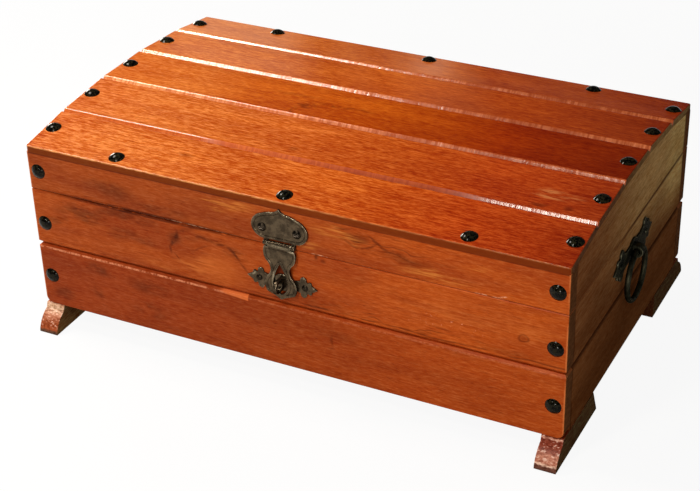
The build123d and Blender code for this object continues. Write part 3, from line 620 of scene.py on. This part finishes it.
def upper_marks(t, here, tone):
    """Smudges, an arched figure and a small knot on the front board of the upper course."""
    near = t.wobbled(here, 34.0, 0.018)
    smudges = t.front_spots(near, (
        (-158, 102, 30, 10, 0.75), (-126, 108, 36, 6, 0.65),
        (-180, 92, 14, 6, 0.55), (-120, 92, 26, 6, 0.45),
        (-84, 103, 9, 8, 0.65), (-58, 104, 30, 4, 0.35),
        (-34, 99, 14, 8, 0.60), (20, 78, 40, 8, 0.25),
        (96, 73, 26, 4, 0.50), (160, 74, 30, 4, 0.30),
        (60, 98, 50, 8, 0.20),
    ))
    tone = smudged(t, here, tone, smudges)
    figure = t.strokes(near, (
        (-84, 102, 11, 3.0, 55, 0.75), (-88, 93, 7, 2.0, -70, 0.60),
        (-79, 84, 12, 1.1, -48, 0.60), (-72, 108, 10, 2.6, 8, 0.55),
        (-60, 104, 12, 2.0, -6, 0.50), (-46, 103, 9, 2.4, 12, 0.60),
        (-34, 99, 10, 2.6, -35, 0.70), (-28, 91, 7, 1.8, -62, 0.45),
        (-64, 97, 14, 1.2, 14, 0.35),
    ))
    tone = t.lined(tone, t.times(figure, t.flecked(here, 100.0, 0.32, 0.54)))
    x, _, _ = t.apart(here)
    _, _, wavy_z = t.apart(t.wobbled(here, 26.0, 0.006))
    patchy = t.flecked(t.place(here, scale=(1, 1, 3)), 50.0, 0.36, 0.56)
    second = t.times(t.line(wavy_z, FIGURE_LINE_Z, 0.0011, 0.7), t.fade(x, -0.04, 0.0), patchy)
    tone = t.lined(tone, second)
    knot = t.knot(near, (172, 0, 88.5), (3.8, 0, 2.8), 0.55, 0.30, 0.45)
    tone = t.lined(tone, knot)
    threads = t.noise(t.place(near, scale=(30, 1, 420)), 1.3, detail=2.0)
    beside = t.spot(here, (80, 0, 77), (100, 0, 9))
    tone = threaded(t, tone, threads, 0.54, 0.55, beside)
    streaks = t.flecked(t.place(here, scale=(1, 1, 12)), 40.0, 0.42, 0.62)
    pale = t.front_spots(near, (
        (-66, 82, 24, 9, 0.55), (-96, 76, 20, 5, 0.35),
        (130, 94, 60, 10, 0.30), (176, 96, 18, 10, 0.45),
    ))
    tone = t.mix(t.times(pale, streaks), tone, UPPER_STREAK)
    tone = t.mix(t.spot(near, (-50, 0, 84), (30, 0, 13), 0.35), tone, UPPER_GLOW)
    specks = t.flecked(here, 420.0, 0.63, 0.70, 0.7)
    tone = t.mix(t.times(t.spot(near, (118, 0, 86), (36, 0, 8)), specks), tone, SPECK)
    # painted shade on the wood seen through the hasp's slot
    hasp_slot_shade = t.spot(here, (1, 0, 91), (8, 0, 15), 0.9, core=0.6)
    tone = t.lined(tone, hasp_slot_shade)
    crack = t.front_spots(near, ((26, 111, 2.5, 4, 0.7), (31, 108, 3, 2, 0.5)))
    return t.lined(tone, t.most([crack, seam(t, here, BOARD_SEAM_MM)]))


def lower_marks(t, here, tone):
    """Smudges, a short mark, a pale chip, painted shade on its left part, and the rubbed upper edge
    with a painted highlight, of the lower front board.
    """
    near = t.wobbled(here, 36.0, 0.014)
    smudges = t.front_spots(near, (
        (-148, 58, 16, 8, 0.70), (-108, 54, 22, 9, 0.60),
        (-155, 39, 10, 7, 0.70), (-108, 34, 22, 8, 0.55),
        (-184, 29, 14, 10, 0.65), (40, 56, 30, 6, 0.25),
    ))
    patchy = t.flecked(t.place(here, scale=(1, 1, 1.6)), 60.0, 0.28, 0.56)
    tone = t.tint(t.times(smudges, patchy), tone, SMUDGE_TINT)
    mark = t.front_spots(near, ((36, 49, 1.6, 7, 0.4), (34, 43, 4, 1, 0.3)))
    tone = t.lined(tone, mark)
    x, _, z = t.apart(here)
    wavy = t.plus(x, t.times(t.noise(here, 500.0), 0.002))
    lower_edge = t.plus(z, t.times(wavy, 0.081))
    chip = t.times(t.fade(x, *CHIP_LEFT), t.fade(x, *CHIP_RIGHT))
    chip = t.times(chip, t.fade(lower_edge, *CHIP_LOW, 0.9))
    tone = t.mix(chip, tone, CHIP)
    # painted shade, darker on the left part
    tone = t.tint(t.fade(x, 0.02, -0.08), tone, LOWER_LEFT_SHADE)
    # the rubbed upper edge, with a painted highlight on it
    rubbed_and_highlit = t.times(t.fade(z, *HIGHLIT_EDGE_LOW), t.fade(z, *HIGHLIT_EDGE_HIGH))
    rubbed_and_highlit = t.times(rubbed_and_highlit, t.plus(t.fade(x, -0.030, -0.075, 0.75), 0.25))
    flecks = t.flecked(here, 420.0, 0.36, 0.60, 0.8)
    return t.mix(t.times(rubbed_and_highlit, flecks), tone, RUBBED_EDGE_HIGHLIGHT)


def end_marks(t, here, tone):
    """The end walls: darker towards the floor, with painted light that brightens the right end
    towards its back and top, and dark joints to the front and back boards.
    """
    x, y, z = t.apart(here)
    _, wavy_y, _ = t.apart(t.wobbled(here, 30.0, 0.008))
    right = t.fade(x, 0.0, 0.1)
    tone = t.tint(t.fade(z, 0.115, 0.020, 0.85), tone, LOW_WALL_TINT)
    # painted light, brighter towards the back of the right end
    back = t.times(t.fade(y, -0.10, 0.10), t.fade(z, 0.06, 0.125), right)
    tone = t.tint(back, tone, PAINTED_BACK_LIGHT)
    corner = t.times(t.fade(y, 0.060, 0.095), t.fade(z, 0.06, 0.085), right)
    tone = t.tint(corner, tone, PAINTED_CORNER_LIGHT)
    joints = t.most([
        t.line(wavy_y, -END_JOINT_Y, END_JOINT_WIDTH, 0.75),
        t.line(wavy_y, END_JOINT_Y, END_JOINT_WIDTH, 0.75),
        t.line(z, COURSE_Z, COURSE_JOINT_WIDTH, 0.9),
        t.times(t.line(z, RIM_Z, COURSE_JOINT_WIDTH, 0.95), t.fade(y, -0.06, 0.02)),
    ])
    return t.lined(tone, joints)


def foot_marks(stops):
    """Painted light and shade on the nose of a foot, with painted glints and pores, its dark sides,
    and painted shade on its inner end.
    """

    def marks(t, here, tone):
        _, y, z = t.apart(here)
        out = t.math("ABSOLUTE", y)
        coarse = t.noise(here, 260.0, detail=3.0, roughness=0.6)
        fine = t.noise(t.place(here, scale=(0.6, 1, 1)), 600.0, detail=2.0, roughness=0.6)
        level = t.plus(t.times(z, 1 / FOOT_TOP), t.times(coarse, 0.20))
        # painted light and shade of the nose, by height
        painted_nose = t.ramp(t.math("SUBTRACT", level, 0.10), stops)
        painted_nose = t.tint(t.fade(fine, 0.52, 0.36, 0.8), painted_nose, NOSE_PORE_TINT)
        # painted glints
        glints = t.times(t.fade(fine, 0.54, 0.66, 0.62), t.fade(z, 0.003, 0.008))
        painted_nose = t.mix(glints, painted_nose, NOSE_GLINT)
        side = t.tint(1.0, tone, FOOT_SIDE_TINT)
        # painted shade on the inner end
        tone = t.tint(t.fade(out, *FOOT_SHADE_Y), tone, FOOT_INNER_SHADE)
        return t.mix(t.end_faces(), t.mix(t.fade(out, *NOSE_Y), tone, painted_nose), side)

    return marks


# ---- metal ----
NAIL_TONES = ((0.001, 0.001, 0.001), (0.016, 0.014, 0.007))
STEEL_TONES = ((0.19, 0.165, 0.13), (0.39, 0.35, 0.30))
HOLLOW_TINT = (0.25, 0.22, 0.20)
BRONZE_GLOSS_TINT = (0.30, 0.27, 0.22)
BRONZES = {  # roughness, and dark, middle and worn tones
    "plate": (0.14, (0.044, 0.032, 0.021), (0.108, 0.080, 0.051), (0.36, 0.31, 0.22)),
    "ring": (0.34, (0.018, 0.019, 0.012), (0.062, 0.060, 0.038), (0.20, 0.19, 0.13)),
    "screw": (0.14, (0.010, 0.008, 0.006), (0.035, 0.026, 0.018), (0.60, 0.48, 0.38)),
}
RUBBED_AND_HIGHLIGHT_PLACES = (  # strokes on the hasp, rubbed bright and painted highlights: x, z, half length, half width, slant and amount
    (0, 115.0, 14, 1.5, 0, 1.0), (10, 113.0, 5, 1.3, 0, 1.0),
    (-5.0, 90, 9, 1.4, 84, 1.0), (-11, 77, 7, 1.0, -48, 0.7),
    (12, 137, 8, 0.9, -25, 0.7), (24, 88, 3, 1.2, 40, 0.7),
    (-21, 89, 3, 1.2, 40, 0.7),
)


def black_gloss():
    """The black paint of the domed nails, mottled and slightly dented."""
    t = material_tree("black_nail")
    here = t.here()
    mottle = t.noise(here, 700.0, detail=3.0, roughness=0.6)
    dents = t.noise(here, 300.0, detail=1.0)
    tone = t.mix(t.fade(mottle, 0.44, 0.60), *NAIL_TONES)
    roughness = t.plus(t.times(mottle, 0.10), 0.05)
    return t.surface(tone, roughness, t.bump(dents, 0.0003, 0.4), Specular_IOR_Level=0.09)


def bronze(kind, rubbed_and_highlight_places=()):
    """Brown-green patina, rubbed to bare metal on raised edges, with painted highlights at given
    places, and dark in the hollows.
    """
    rough, dark, middle, worn = BRONZES[kind]
    t = material_tree(f"{kind}_bronze")
    here = t.here()
    stored = t.add("ShaderNodeAttribute", attribute_name=WEAR, attribute_type="GEOMETRY")
    wear = stored.outputs["Fac"]
    patches = t.noise(here, 170.0, detail=4.0, roughness=0.62)
    grit = t.noise(here, 850.0, detail=3.0, roughness=0.7)
    tone = t.mix(t.fade(patches, 0.35, 0.68), dark, middle)
    rubbed_and_highlit = t.fade(t.plus(wear, t.times(grit, 0.08)), 0.075, 0.150, 0.9)
    rubbed_and_highlit = t.times(rubbed_and_highlit, t.fade(t.noise(here, 120.0, detail=2.0), 0.38, 0.58))
    if rubbed_and_highlight_places:
        # rubbed spots and painted highlights at the given places
        lit = t.times(t.strokes(here, rubbed_and_highlight_places), t.fade(grit, 0.38, 0.54))
        rubbed_and_highlit = t.most([rubbed_and_highlit, lit])
    tone = t.mix(rubbed_and_highlit, tone, worn)
    tone = t.tint(t.fade(wear, -0.004, -0.045, 0.85), tone, HOLLOW_TINT)
    roughness = t.plus(t.times(patches, 0.25), rough)
    normal = t.bump(t.plus(grit, patches), 0.00016, 0.7)
    return t.surface(tone, roughness, normal, Metallic=0.85, Specular_Tint=BRONZE_GLOSS_TINT)


def steel():
    """Dull steel, for the screws that hold the feet."""
    t = material_tree("steel_screw")
    mottle = t.noise(t.here(), 700.0, detail=3.0)
    roughness = t.plus(t.times(mottle, 0.25), 0.25)
    return t.surface(t.mix(mottle, *STEEL_TONES), roughness, Metallic=0.9)


# ---- the slats of the lid, in millimetres ----
JOINT_YS = (-122.5, -76.5, -25.5, 25.5, 76.5, 122.5)
SLATS = len(JOINT_YS) - 1
LID_EDGE_Z = 147.0
LID_RISE = 11.0
LID_RADIUS = (JOINT_YS[-1] ** 2 + LID_RISE**2) / (2 * LID_RISE)
SLAT_THICKNESS = 4.8
FRONT_CHAMFERS = (0, 2.3, 2.8, 3.6, 3.4)  # each way, on each slat's front edge
BACK_CHAMFER = 2.0
EASED_EDGE = 0.8
PLAN_RADIUS = 2.0  # of the lid's four corners
SIDE_GAP = 0.06  # between a slat's side and its joint
STATION = 1.25  # between two sections
CUTTER_STEP = 5.2  # between the marks that the cutter left along the chamfers
CUTTER_DEPTH = 0.10
CUTTER_SLANT = 0.55  # how far a mark leans over, in steps
LOWER_ARC, UPPER_ARC = 0.40, 0.50  # radii of a chamfer's corners
CHAMFER_SHARES = (0.36, 0.50, 0.64)  # its points between those corners
TOP_STEPS = 12  # across a slat's top
HOLLOW, HOLLOW_WAVER = 0.10, 0.05  # of a slat's top
END_STATIONS = (0.0, 0.06, 0.16, 0.32, 0.55, 0.8, 1.15, 1.55, 2.0)  # from a slat's end
SHARP_ANGLE = math.radians(50)
WOOD, EDGE, FACE = 0, 1, 2  # slots of a slat: its wood, its chamfers and its front face
SLAT_LOOKS = (  # grain, roughness, specular level, relief, hues and marks of each slat
    (1.15, 0.24, 0.22, 0.5, FRONT_HUES, slat_1_marks),
    (1.0, 0.24, 0.22, 0.5, FRONT_HUES, slat_2_marks),
    (0.8, 0.20, 0.08, 0.4, MIDDLE_HUES, slat_3_marks),
    (0.9, 0.16, 0.09, 0.2, BACK_HUES, painted_sheen_bands(0.17)),
    (0.9, 0.16, 0.06, 0.2, BACK_HUES, painted_sheen_bands(0.38)),
)
HALF_MM = HALF_LENGTH / MM


def crest(j):
    """The corner of joint j on the arch over the slats."""
    y = JOINT_YS[j]
    return Vector((y, LID_EDGE_Z + LID_RISE - LID_RADIUS + math.sqrt(LID_RADIUS**2 - y * y)))


def slat_up(i):
    """The direction out of the top of slat i."""
    across = (crest(i + 1) - crest(i)).normalized()
    return Vector((-across.y, across.x))


def joint_down(j):
    """From joint j to its lower corner."""
    if j in (0, SLATS):
        return Vector((0, -SLAT_THICKNESS / slat_up(min(j, SLATS - 1)).y))
    middle = (slat_up(j - 1) + slat_up(j)).normalized()
    return middle * (-SLAT_THICKNESS / middle.dot(slat_up(j)))


def rounded(before, corner, after, radius, support=0.22):
    """A corner as an arc of three points, with one more on each side that keeps the faces flat."""
    a = (before - corner).normalized()
    b = (after - corner).normalized()
    start, end = corner + a * radius, corner + b * radius
    return [start + a * support, start, (start + end) / 4 + corner / 2, end, end + b * support]


def waver(x, length, row, layer):
    """Smooth noise between -1 and 1 that changes over a length of x."""
    return noise.noise(Vector((x / length, row, layer)))


def chamfer(before, lower, upper, after, seed, x):
    """The points of a chamfer, from its lower to its upper corner, with the marks of the cutter."""
    points = rounded(before, lower, upper, LOWER_ARC)
    points += [lower.lerp(upper, share) for share in CHAMFER_SHARES]
    points += rounded(lower, upper, after, UPPER_ARC)
    slope = upper - lower
    inwards = Vector((slope.y, -slope.x)).normalized()
    if inwards.y > 0:
        inwards = -inwards
    amount = max(0.0, 0.5 + 0.8 * waver(x, 14, seed * 7.7, 3.1))
    phase = x / CUTTER_STEP + 0.35 * waver(x, 9, seed * 3.3, 9.4)
    cut = []
    for point in points:
        share = min(1.0, max(0.0, (point - lower).dot(slope) / slope.length_squared))
        wave = 0.5 + 0.5 * math.sin(2 * math.pi * (phase + CUTTER_SLANT * share))
        depth = CUTTER_DEPTH * amount * wave * math.sin(math.pi * share)
        cut.append(point + inwards * depth)
    return cut


def width_share(seed, x):
    """How wide a chamfer is at x, as a share of its usual width."""
    return 1 + 0.14 * waver(x, 70, seed * 5.1, 0.7) + 0.06 * waver(x, 11, seed * 2.9, 4.2)


def corner_cut(radius, gap):
    """How far a rounded end has drawn back, gap before the end."""
    if gap >= radius:
        return 0.0
    return radius - math.sqrt(radius**2 - (radius - gap) ** 2)


def hollow(i, x, share):
    """How deep the top of slat i is hollowed at x, at a share of its width."""
    bow = math.sin(math.pi * share)
    uneven = HOLLOW_WAVER * (1 + waver(x, 45, share * 2.5, i * 3.7))
    return HOLLOW * bow**2 + uneven * bow


def chamfered_side(i, back, low, top, far, x):
    """The front (back 0) or back (back 1) of slat i at x: its two corners, and its points."""
    inwards = (crest(i + 1) - crest(i)).normalized() * (1 - 2 * back)
    low, top = low + inwards * SIDE_GAP, top + inwards * SIDE_GAP
    width = width_share(i * 2 + back, x) * (BACK_CHAMFER if back else FRONT_CHAMFERS[i])
    lower = top + joint_down(i + back).normalized() * width
    upper = top + inwards * width
    return low, top, chamfer(low, lower, upper, far, i * 2 + back, x)


def slat_ring(i, x):
    """Section of slat i at x, as points and the slot of the face after each point."""
    gap = HALF_MM - abs(x)
    drop = corner_cut(EASED_EDGE, gap)
    draw = corner_cut(PLAN_RADIUS, gap)
    p, q = crest(i), crest(i + 1)
    across = (q - p).normalized()
    up = slat_up(i)
    low_front, low_back = p + joint_down(i), q + joint_down(i + 1)
    top_front, top_back = p - up * drop, q - up * drop
    if i == 0:
        low_front, top_front = low_front + Vector((draw, 0)), top_front + across * draw
        front = rounded(low_front, top_front, top_back, EASED_EDGE)
        front_slots = [FACE] * 2 + [WOOD] * (len(front) - 2)
    else:
        low_front, top_front, front = chamfered_side(i, 0, low_front, top_front, top_back, x)
        front_slots = [WOOD] + [EDGE] * (len(front) - 3) + [WOOD] * 2
    if i == SLATS - 1:
        low_back, top_back = low_back - Vector((draw, 0)), top_back - across * draw
        back = rounded(top_front, top_back, low_back, EASED_EDGE)
        back_slots = [WOOD] * len(back)
    else:
        low_back, top_back, back = chamfered_side(i, 1, low_back, top_back, top_front, x)
        back = back[::-1]
        back_slots = [WOOD] * 2 + [EDGE] * (len(back) - 3) + [WOOD]
    shares = [k / TOP_STEPS for k in range(1, TOP_STEPS)]
    top = [front[-1].lerp(back[0], share) - up * hollow(i, x, share) for share in shares]
    points = [low_front] + front + top + back + [low_back]
    under = FACE if i == 0 else WOOD
    slots = [under] + front_slots + [WOOD] * len(top) + back_slots + [WOOD]
    return points, slots


def loft(name, rings, slots):
    """A closed mesh through rings of points in millimetres, with flat ends."""
    size = len(rings[0])
    verts = [Vector(point) * MM for ring in rings for point in ring]
    faces = [tuple(range(size))]
    face_slots = [WOOD]
    for k in range(len(rings) - 1):
        low, high = k * size, (k + 1) * size
        for n in range(size):
            m = (n + 1) % size
            faces.append((low + n, high + n, high + m, low + m))
            face_slots.append(slots[n])
    last = (len(rings) - 1) * size
    faces.append(tuple(range(last, last + size)))
    face_slots.append(WOOD)
    mesh = bpy.data.meshes.new(name)
    mesh.from_pydata(verts, [], faces)
    mesh.polygons.foreach_set("material_index", face_slots)
    build = bmesh.new()
    build.from_mesh(mesh)
    bmesh.ops.recalc_face_normals(build, faces=build.faces)
    build.to_mesh(mesh)
    build.free()
    mesh.shade_smooth()
    mesh.set_sharp_from_angle(angle=SHARP_ANGLE)
    piece = bpy.data.objects.new(name, mesh)
    link(piece)
    return piece


def stations():
    """Places along a slat, close together at its rounded ends."""
    first = END_STATIONS[-1]
    length = 2 * (HALF_MM - first)
    count = round(length / STATION)
    inner = [first - HALF_MM + length * k / count for k in range(1, count)]
    ends = [HALF_MM - e for e in reversed(END_STATIONS)]
    return [e - HALF_MM for e in END_STATIONS] + inner + ends


def make_slats():
    """The slats of the lid, each a loft with a material for its wood and one for its chamfers."""
    for i, (grain, rough, specular, relief, hues, marks) in enumerate(SLAT_LOOKS):
        rings = []
        for x in stations():
            points, slots = slat_ring(i, x)
            rings.append([(x, point.x, point.y) for point in points])
        number = i + 1
        seed = 10 + number
        piece = loft(f"lid_slat_{number}_wood", rings, slots)
        look = dict(hues=hues, marks=marks)
        edge = (LID_LIGHT, LID_DARK, True) if number < 3 else (EDGE_LIGHT, EDGE_DARK, False)
        materials = [
            stained(
                f"slat_wood_{number}", seed, LID_LIGHT, LID_DARK,
                grain=grain, rough=rough, specular=specular, relief=relief, **look,
            ),
            cut_edge(f"chamfer_wood_{number}", seed, *edge),
        ]
        if i == 0:
            face = stained("slat_wood_face", seed, LID_LIGHT, LID_DARK, specular=0.03, **look)
            materials.append(face)
        for material in materials:
            piece.data.materials.append(material)
        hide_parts(f"lid_slat_{number}")
        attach(piece, "lid")


make_slats()


# ---- cast metal ----
SOFTEN_SHARE, SOFTEN_ROUNDS = 0.5, 3
WEAR_ROUNDS = 3


def column(items, key, width, kind):
    """One property of a mesh's vertices or edges, with a row for each of them."""
    values = np.empty(len(items) * width, kind)
    items.foreach_get(key, values)
    return values.reshape(-1, width)


def neighbour_mean(values, edges, counts):
    """Mean of each vertex's neighbours."""
    sums = np.zeros_like(values)
    np.add.at(sums, edges[:, 0], values[edges[:, 1]])
    np.add.at(sums, edges[:, 1], values[edges[:, 0]])
    return sums / counts.reshape((-1,) + (1,) * (values.ndim - 1))


def add_wear(mesh):
    """Stores how far each place stands out (above 0) or lies in a hollow (below 0)."""
    places = column(mesh.vertices, "co", 3, np.float32).astype(float)
    facing = column(mesh.vertices, "normal", 3, np.float32).astype(float)
    edges = column(mesh.edges, "vertices", 2, np.int32)
    counts = np.maximum(np.bincount(edges.ravel(), minlength=len(places)), 1).astype(float)
    lengths = np.linalg.norm(places[edges[:, 0]] - places[edges[:, 1]], axis=1)
    out = ((places - neighbour_mean(places, edges, counts)) * facing).sum(axis=1) / lengths.mean()
    for _ in range(WEAR_ROUNDS):
        out = 0.5 * out + 0.5 * neighbour_mean(out, edges, counts)
    wear = mesh.attributes.new(WEAR, "FLOAT", "POINT")
    wear.data.foreach_set("value", out.astype(np.float32))


def cast(node, voxel, material):
    """The node's shape with the soft edges of a casting."""
    work = bpy.data.objects.new("work", nodes[node].data.copy())
    link(work)
    remesh = work.modifiers.new("remesh", "REMESH")
    remesh.mode = "VOXEL"
    remesh.voxel_size = voxel * MM
    soften = work.modifiers.new("soften", "SMOOTH")
    soften.factor = SOFTEN_SHARE
    soften.iterations = SOFTEN_ROUNDS
    shape = work.evaluated_get(bpy.context.evaluated_depsgraph_get())
    mesh = bpy.data.meshes.new_from_object(shape)
    bpy.data.objects.remove(work)
    mesh.name = f"{node}_cast"
    mesh.materials.clear()
    mesh.materials.append(material)
    mesh.shade_smooth()
    add_wear(mesh)
    piece = bpy.data.objects.new(f"{node}_cast", mesh)
    link(piece)
    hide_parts(node)
    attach(piece, nodes[node]["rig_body"])


plate_bronze = bronze("plate", RUBBED_AND_HIGHLIGHT_PLACES)
ring_bronze = bronze("ring")
screw_bronze = bronze("screw")

CASTINGS = {  # voxel in millimetres and material
    "hasp_plate": (0.26, plate_bronze),
    "hasp_strap": (0.24, plate_bronze),
    "staple_plate": (0.24, plate_bronze),
    "staple_eye": (0.24, plate_bronze),
    "hasp_screws": (0.16, screw_bronze),
    "staple_pins": (0.16, screw_bronze),
}
HANDLE_VOXELS = {"handle_plate": 0.30, "handle_lug": 0.26, "handle_pins": 0.20, "ring": 0.36}
for part, voxel_size in HANDLE_VOXELS.items():
    for hand in ("left", "right"):
        CASTINGS[f"{hand}_{part}"] = (voxel_size, ring_bronze)
for node_name, (voxel_size, metal_look) in CASTINGS.items():
    cast(node_name, voxel_size, metal_look)


# ---- paint for the nodes that stay as they are ----
BOARD_LOOK = dict(grain=0.55, specular=0.05, relief=0.4, hues=BOARD_HUES)
WALL_LOOK = dict(along="y", grain=0.5, rough=0.42, specular=0.0, marks=end_marks)
FOOT_LOOK = dict(along="y", grain=0.8, rough=0.30, specular=0.12)
BARE_LOOK = dict(grain=0.4, rough=0.6, specular=0.2)
COURSES = (  # course, what its nodes' names start with, tones, and marks at the front
    ("upper_board", "", UPPER_LIGHT, UPPER_DARK, upper_marks),
    ("lower_board", "", LOWER_LIGHT, LOWER_DARK, lower_marks),
    ("rail", "lid_", UPPER_LIGHT, UPPER_DARK, rail_marks),
)


def slot_nodes(slot):
    """The nodes of a material slot that keep their own mesh."""
    rows = frame["record"]["subparts"]
    names = [row["node"] for row in rows if row["material_slot"] == slot]
    return [name for name in names if name not in CASTINGS]


def paint_walls():
    """Each board has its own piece of grain."""
    seed = 30
    for side in ("front", "back"):
        for course, prefix, light, dark, marks in COURSES:
            seed += 1
            own = outside(marks) if side == "front" else back_marks
            look = stained(f"wood_{side}_{course}", seed, light, dark, marks=own, **BOARD_LOOK)
            paint([f"{prefix}{side}_{course}"], look)
    for side in ("left", "right"):
        for name in (f"{side}_lower_board", f"{side}_upper_board", f"lid_{side}_end"):
            seed += 1
            paint([name], stained(f"wood_{name}", seed, END_LIGHT, END_DARK, **WALL_LOOK))


def paint_rest():
    """The feet, the bare wood inside and the metal that isn't cast anew."""
    for seed, name in enumerate(slot_nodes("foot_wood"), 61):
        marks = foot_marks(LEFT_NOSE_PAINTED_LIGHT if name.endswith("left") else RIGHT_NOSE_PAINTED_LIGHT)
        foot = stained(f"wood_{name}", seed, FOOT_LIGHT, FOOT_DARK, marks=marks, **FOOT_LOOK)
        paint([name], foot)
    posts = [name for name in nodes if name.startswith("corner_post")]
    bare_pieces = (("x", 50, ["bottom_panel"]), ("y", 51, ["lid_middle_rib"]), ("z", 52, posts))
    for along, seed, names in bare_pieces:
        bare = stained(f"bare_wood_{along}", seed, BARE_LIGHT, BARE_DARK, along, **BARE_LOOK)
        paint(names, bare)
    paint(slot_nodes("black_nail"), black_gloss())
    paint(slot_nodes("antique_bronze"), ring_bronze)
    paint(slot_nodes("steel_screw"), steel())


paint_walls()
paint_rest()


# ---- floor ----
FLOOR_RADIUS = 9.0
SHADE_NEAR = 0.08  # share of the light on the floor in its look, beside the chest
SHADE_REACH = (1.1, 0.45)  # where that share is gone, and where it is whole
FLOOR_SEGMENTS = 96
FLOOR_PAINT = (0.8, 0.8, 0.8)
FLOOR_BOUNCE = (0.35, 0.34, 0.32)
WHITE = (1, 1, 1)


def stage_material():
    """Plain white to look at and in reflections, with the chest's shadow, and a grey bounce."""
    t = material_tree("stage_white")
    rays = t.add("ShaderNodeLightPath").outputs
    seen = t.most([rays["Is Camera Ray"], rays["Is Glossy Ray"], rays["Is Transmission Ray"]])
    away = t.length(t.here())
    plain = t.add("ShaderNodeEmission", {"Color": WHITE, "Strength": 1.0})
    lit = t.add("ShaderNodeBsdfDiffuse", {"Color": FLOOR_PAINT})
    bounce = t.add("ShaderNodeBsdfDiffuse", {"Color": FLOOR_BOUNCE})
    shade = t.plus(t.times(rays["Is Camera Ray"], SHADE_NEAR - 1.0), 1.0)
    share = t.times(t.fade(away, *SHADE_REACH), shade)
    look = t.add("ShaderNodeMixShader", {0: share, 1: plain.outputs[0], 2: lit.outputs[0]})
    chosen = t.add("ShaderNodeMixShader", {0: seen, 1: bounce.outputs[0], 2: look.outputs[0]})
    t.add("ShaderNodeOutputMaterial", {0: chosen.outputs[0]})
    return t.owner


def make_stage():
    """A round floor under the chest."""
    mesh = bpy.data.meshes.new("stage_floor")
    build = bmesh.new()
    bmesh.ops.create_circle(build, cap_ends=True, segments=FLOOR_SEGMENTS, radius=FLOOR_RADIUS)
    build.to_mesh(mesh)
    build.free()
    mesh.materials.append(stage_material())
    floor = bpy.data.objects.new("stage_floor", mesh)
    link(floor)


make_stage()


# ---- light ----
LAMP = (1.0, 0.93, 0.82)
CARD = (1.0, 0.90, 0.66)
LAMPS = (  # name, place, target (without one it looks straight down), size, power and colour
    ("left_lamp", (-0.49, -0.10, 0.72), None, (0.26, 0.22), 6.2, LAMP),
    ("key_lamp", (-0.03, -0.59, 0.77), (0, -0.1, 0.1), (0.16, 0.16), 2.3, LAMP),
    ("front_lamp", (0.45, -1.1, 0.30), (0.05, -0.12, 0.07), (0.16, 0.12), 2.8, LAMP),
    ("glint_lamp", (-0.15, -0.92, 0.60), (0.05, -0.12, 0.09), (0.04, 0.04), 1.6, LAMP),
    ("back_lamp", (-1.5, 0.95, 0.35), (0, 0.1, 0.08), (0.5, 0.4), 15.0, LAMP),
    ("back_card", (-0.777, 1.174, 0.403), (-0.12, 0.08, 0.155), (0.216, 0.365), 0.24, CARD),
    ("back_strip", (-0.476, 1.29, 0.347), (0.01, 0.1, 0.155), (0.045, 0.25), 0.040, CARD),
)
ROOM_AMBIENT = 0.14
ROOM_GLOSS = 0.06
HORIZON_BAND = 0.06  # height up to which the horizon is white


def area_light(name, place, target, size, power, colour):
    """A rectangular lamp that the camera doesn't see."""
    data = bpy.data.lights.new(name, "AREA")
    data.shape = "RECTANGLE"
    data.size, data.size_y = size
    data.energy = power
    data.color = colour
    lamp = bpy.data.objects.new(name, data)
    lamp.location = place
    if target is not None:
        look = Vector(target) - Vector(place)
        lamp.rotation_euler = look.to_track_quat("-Z", "Y").to_euler()
    lamp.visible_camera = False
    link(lamp)


def studio_world():
    """White around the horizon, as behind the floor, and a dim room above it."""
    world = bpy.data.worlds.new("studio")
    bpy.context.scene.world = world
    t = Tree(world)
    _, _, height = t.apart(t.add("ShaderNodeTexCoord").outputs["Generated"])
    rays = t.add("ShaderNodeLightPath").outputs
    glossy = rays["Is Glossy Ray"]
    room = t.plus(t.times(glossy, ROOM_GLOSS - ROOM_AMBIENT), ROOM_AMBIENT)
    horizon = t.times(t.fade(height, HORIZON_BAND, 0.0), glossy)
    white = t.most([rays["Is Camera Ray"], rays["Is Transmission Ray"], horizon])
    strength = t.plus(white, t.times(t.math("SUBTRACT", 1.0, white), room))
    ground = t.add("ShaderNodeBackground", {0: WHITE, 1: strength})
    t.add("ShaderNodeOutputWorld", {0: ground.outputs[0]})


for lamp_row in LAMPS:
    area_light(*lamp_row)
studio_world()


# ---- camera ----
CAMERA_PLACE = Vector((474.2, -936.5, 674.1)) * MM
CAMERA_AZIMUTH = math.radians(27.47)
CAMERA_ELEVATION = math.radians(30.81)
CAMERA_ROLL = math.radians(-1.77)
LENS = 85.91
SENSOR = 36.0


def make_camera():
    """The camera that took the photo, as fitted to it."""
    look = Vector((
        -math.sin(CAMERA_AZIMUTH) * math.cos(CAMERA_ELEVATION),
        math.cos(CAMERA_AZIMUTH) * math.cos(CAMERA_ELEVATION),
        -math.sin(CAMERA_ELEVATION),
    ))
    right = look.cross(Vector((0, 0, 1))).normalized()
    down = look.cross(right)
    c, s = math.cos(CAMERA_ROLL), math.sin(CAMERA_ROLL)
    right, down = right * c - down * s, right * s + down * c
    turn = Matrix((right, -down, -look)).transposed()
    data = bpy.data.cameras.new("camera")
    data.sensor_width = SENSOR
    data.lens = LENS
    camera = bpy.data.objects.new("camera", data)
    camera.matrix_world = Matrix.Translation(CAMERA_PLACE) @ turn.to_4x4()
    link(camera)
    bpy.context.scene.camera = camera


make_camera()
bpy.context.scene.view_settings.view_transform = "Standard"
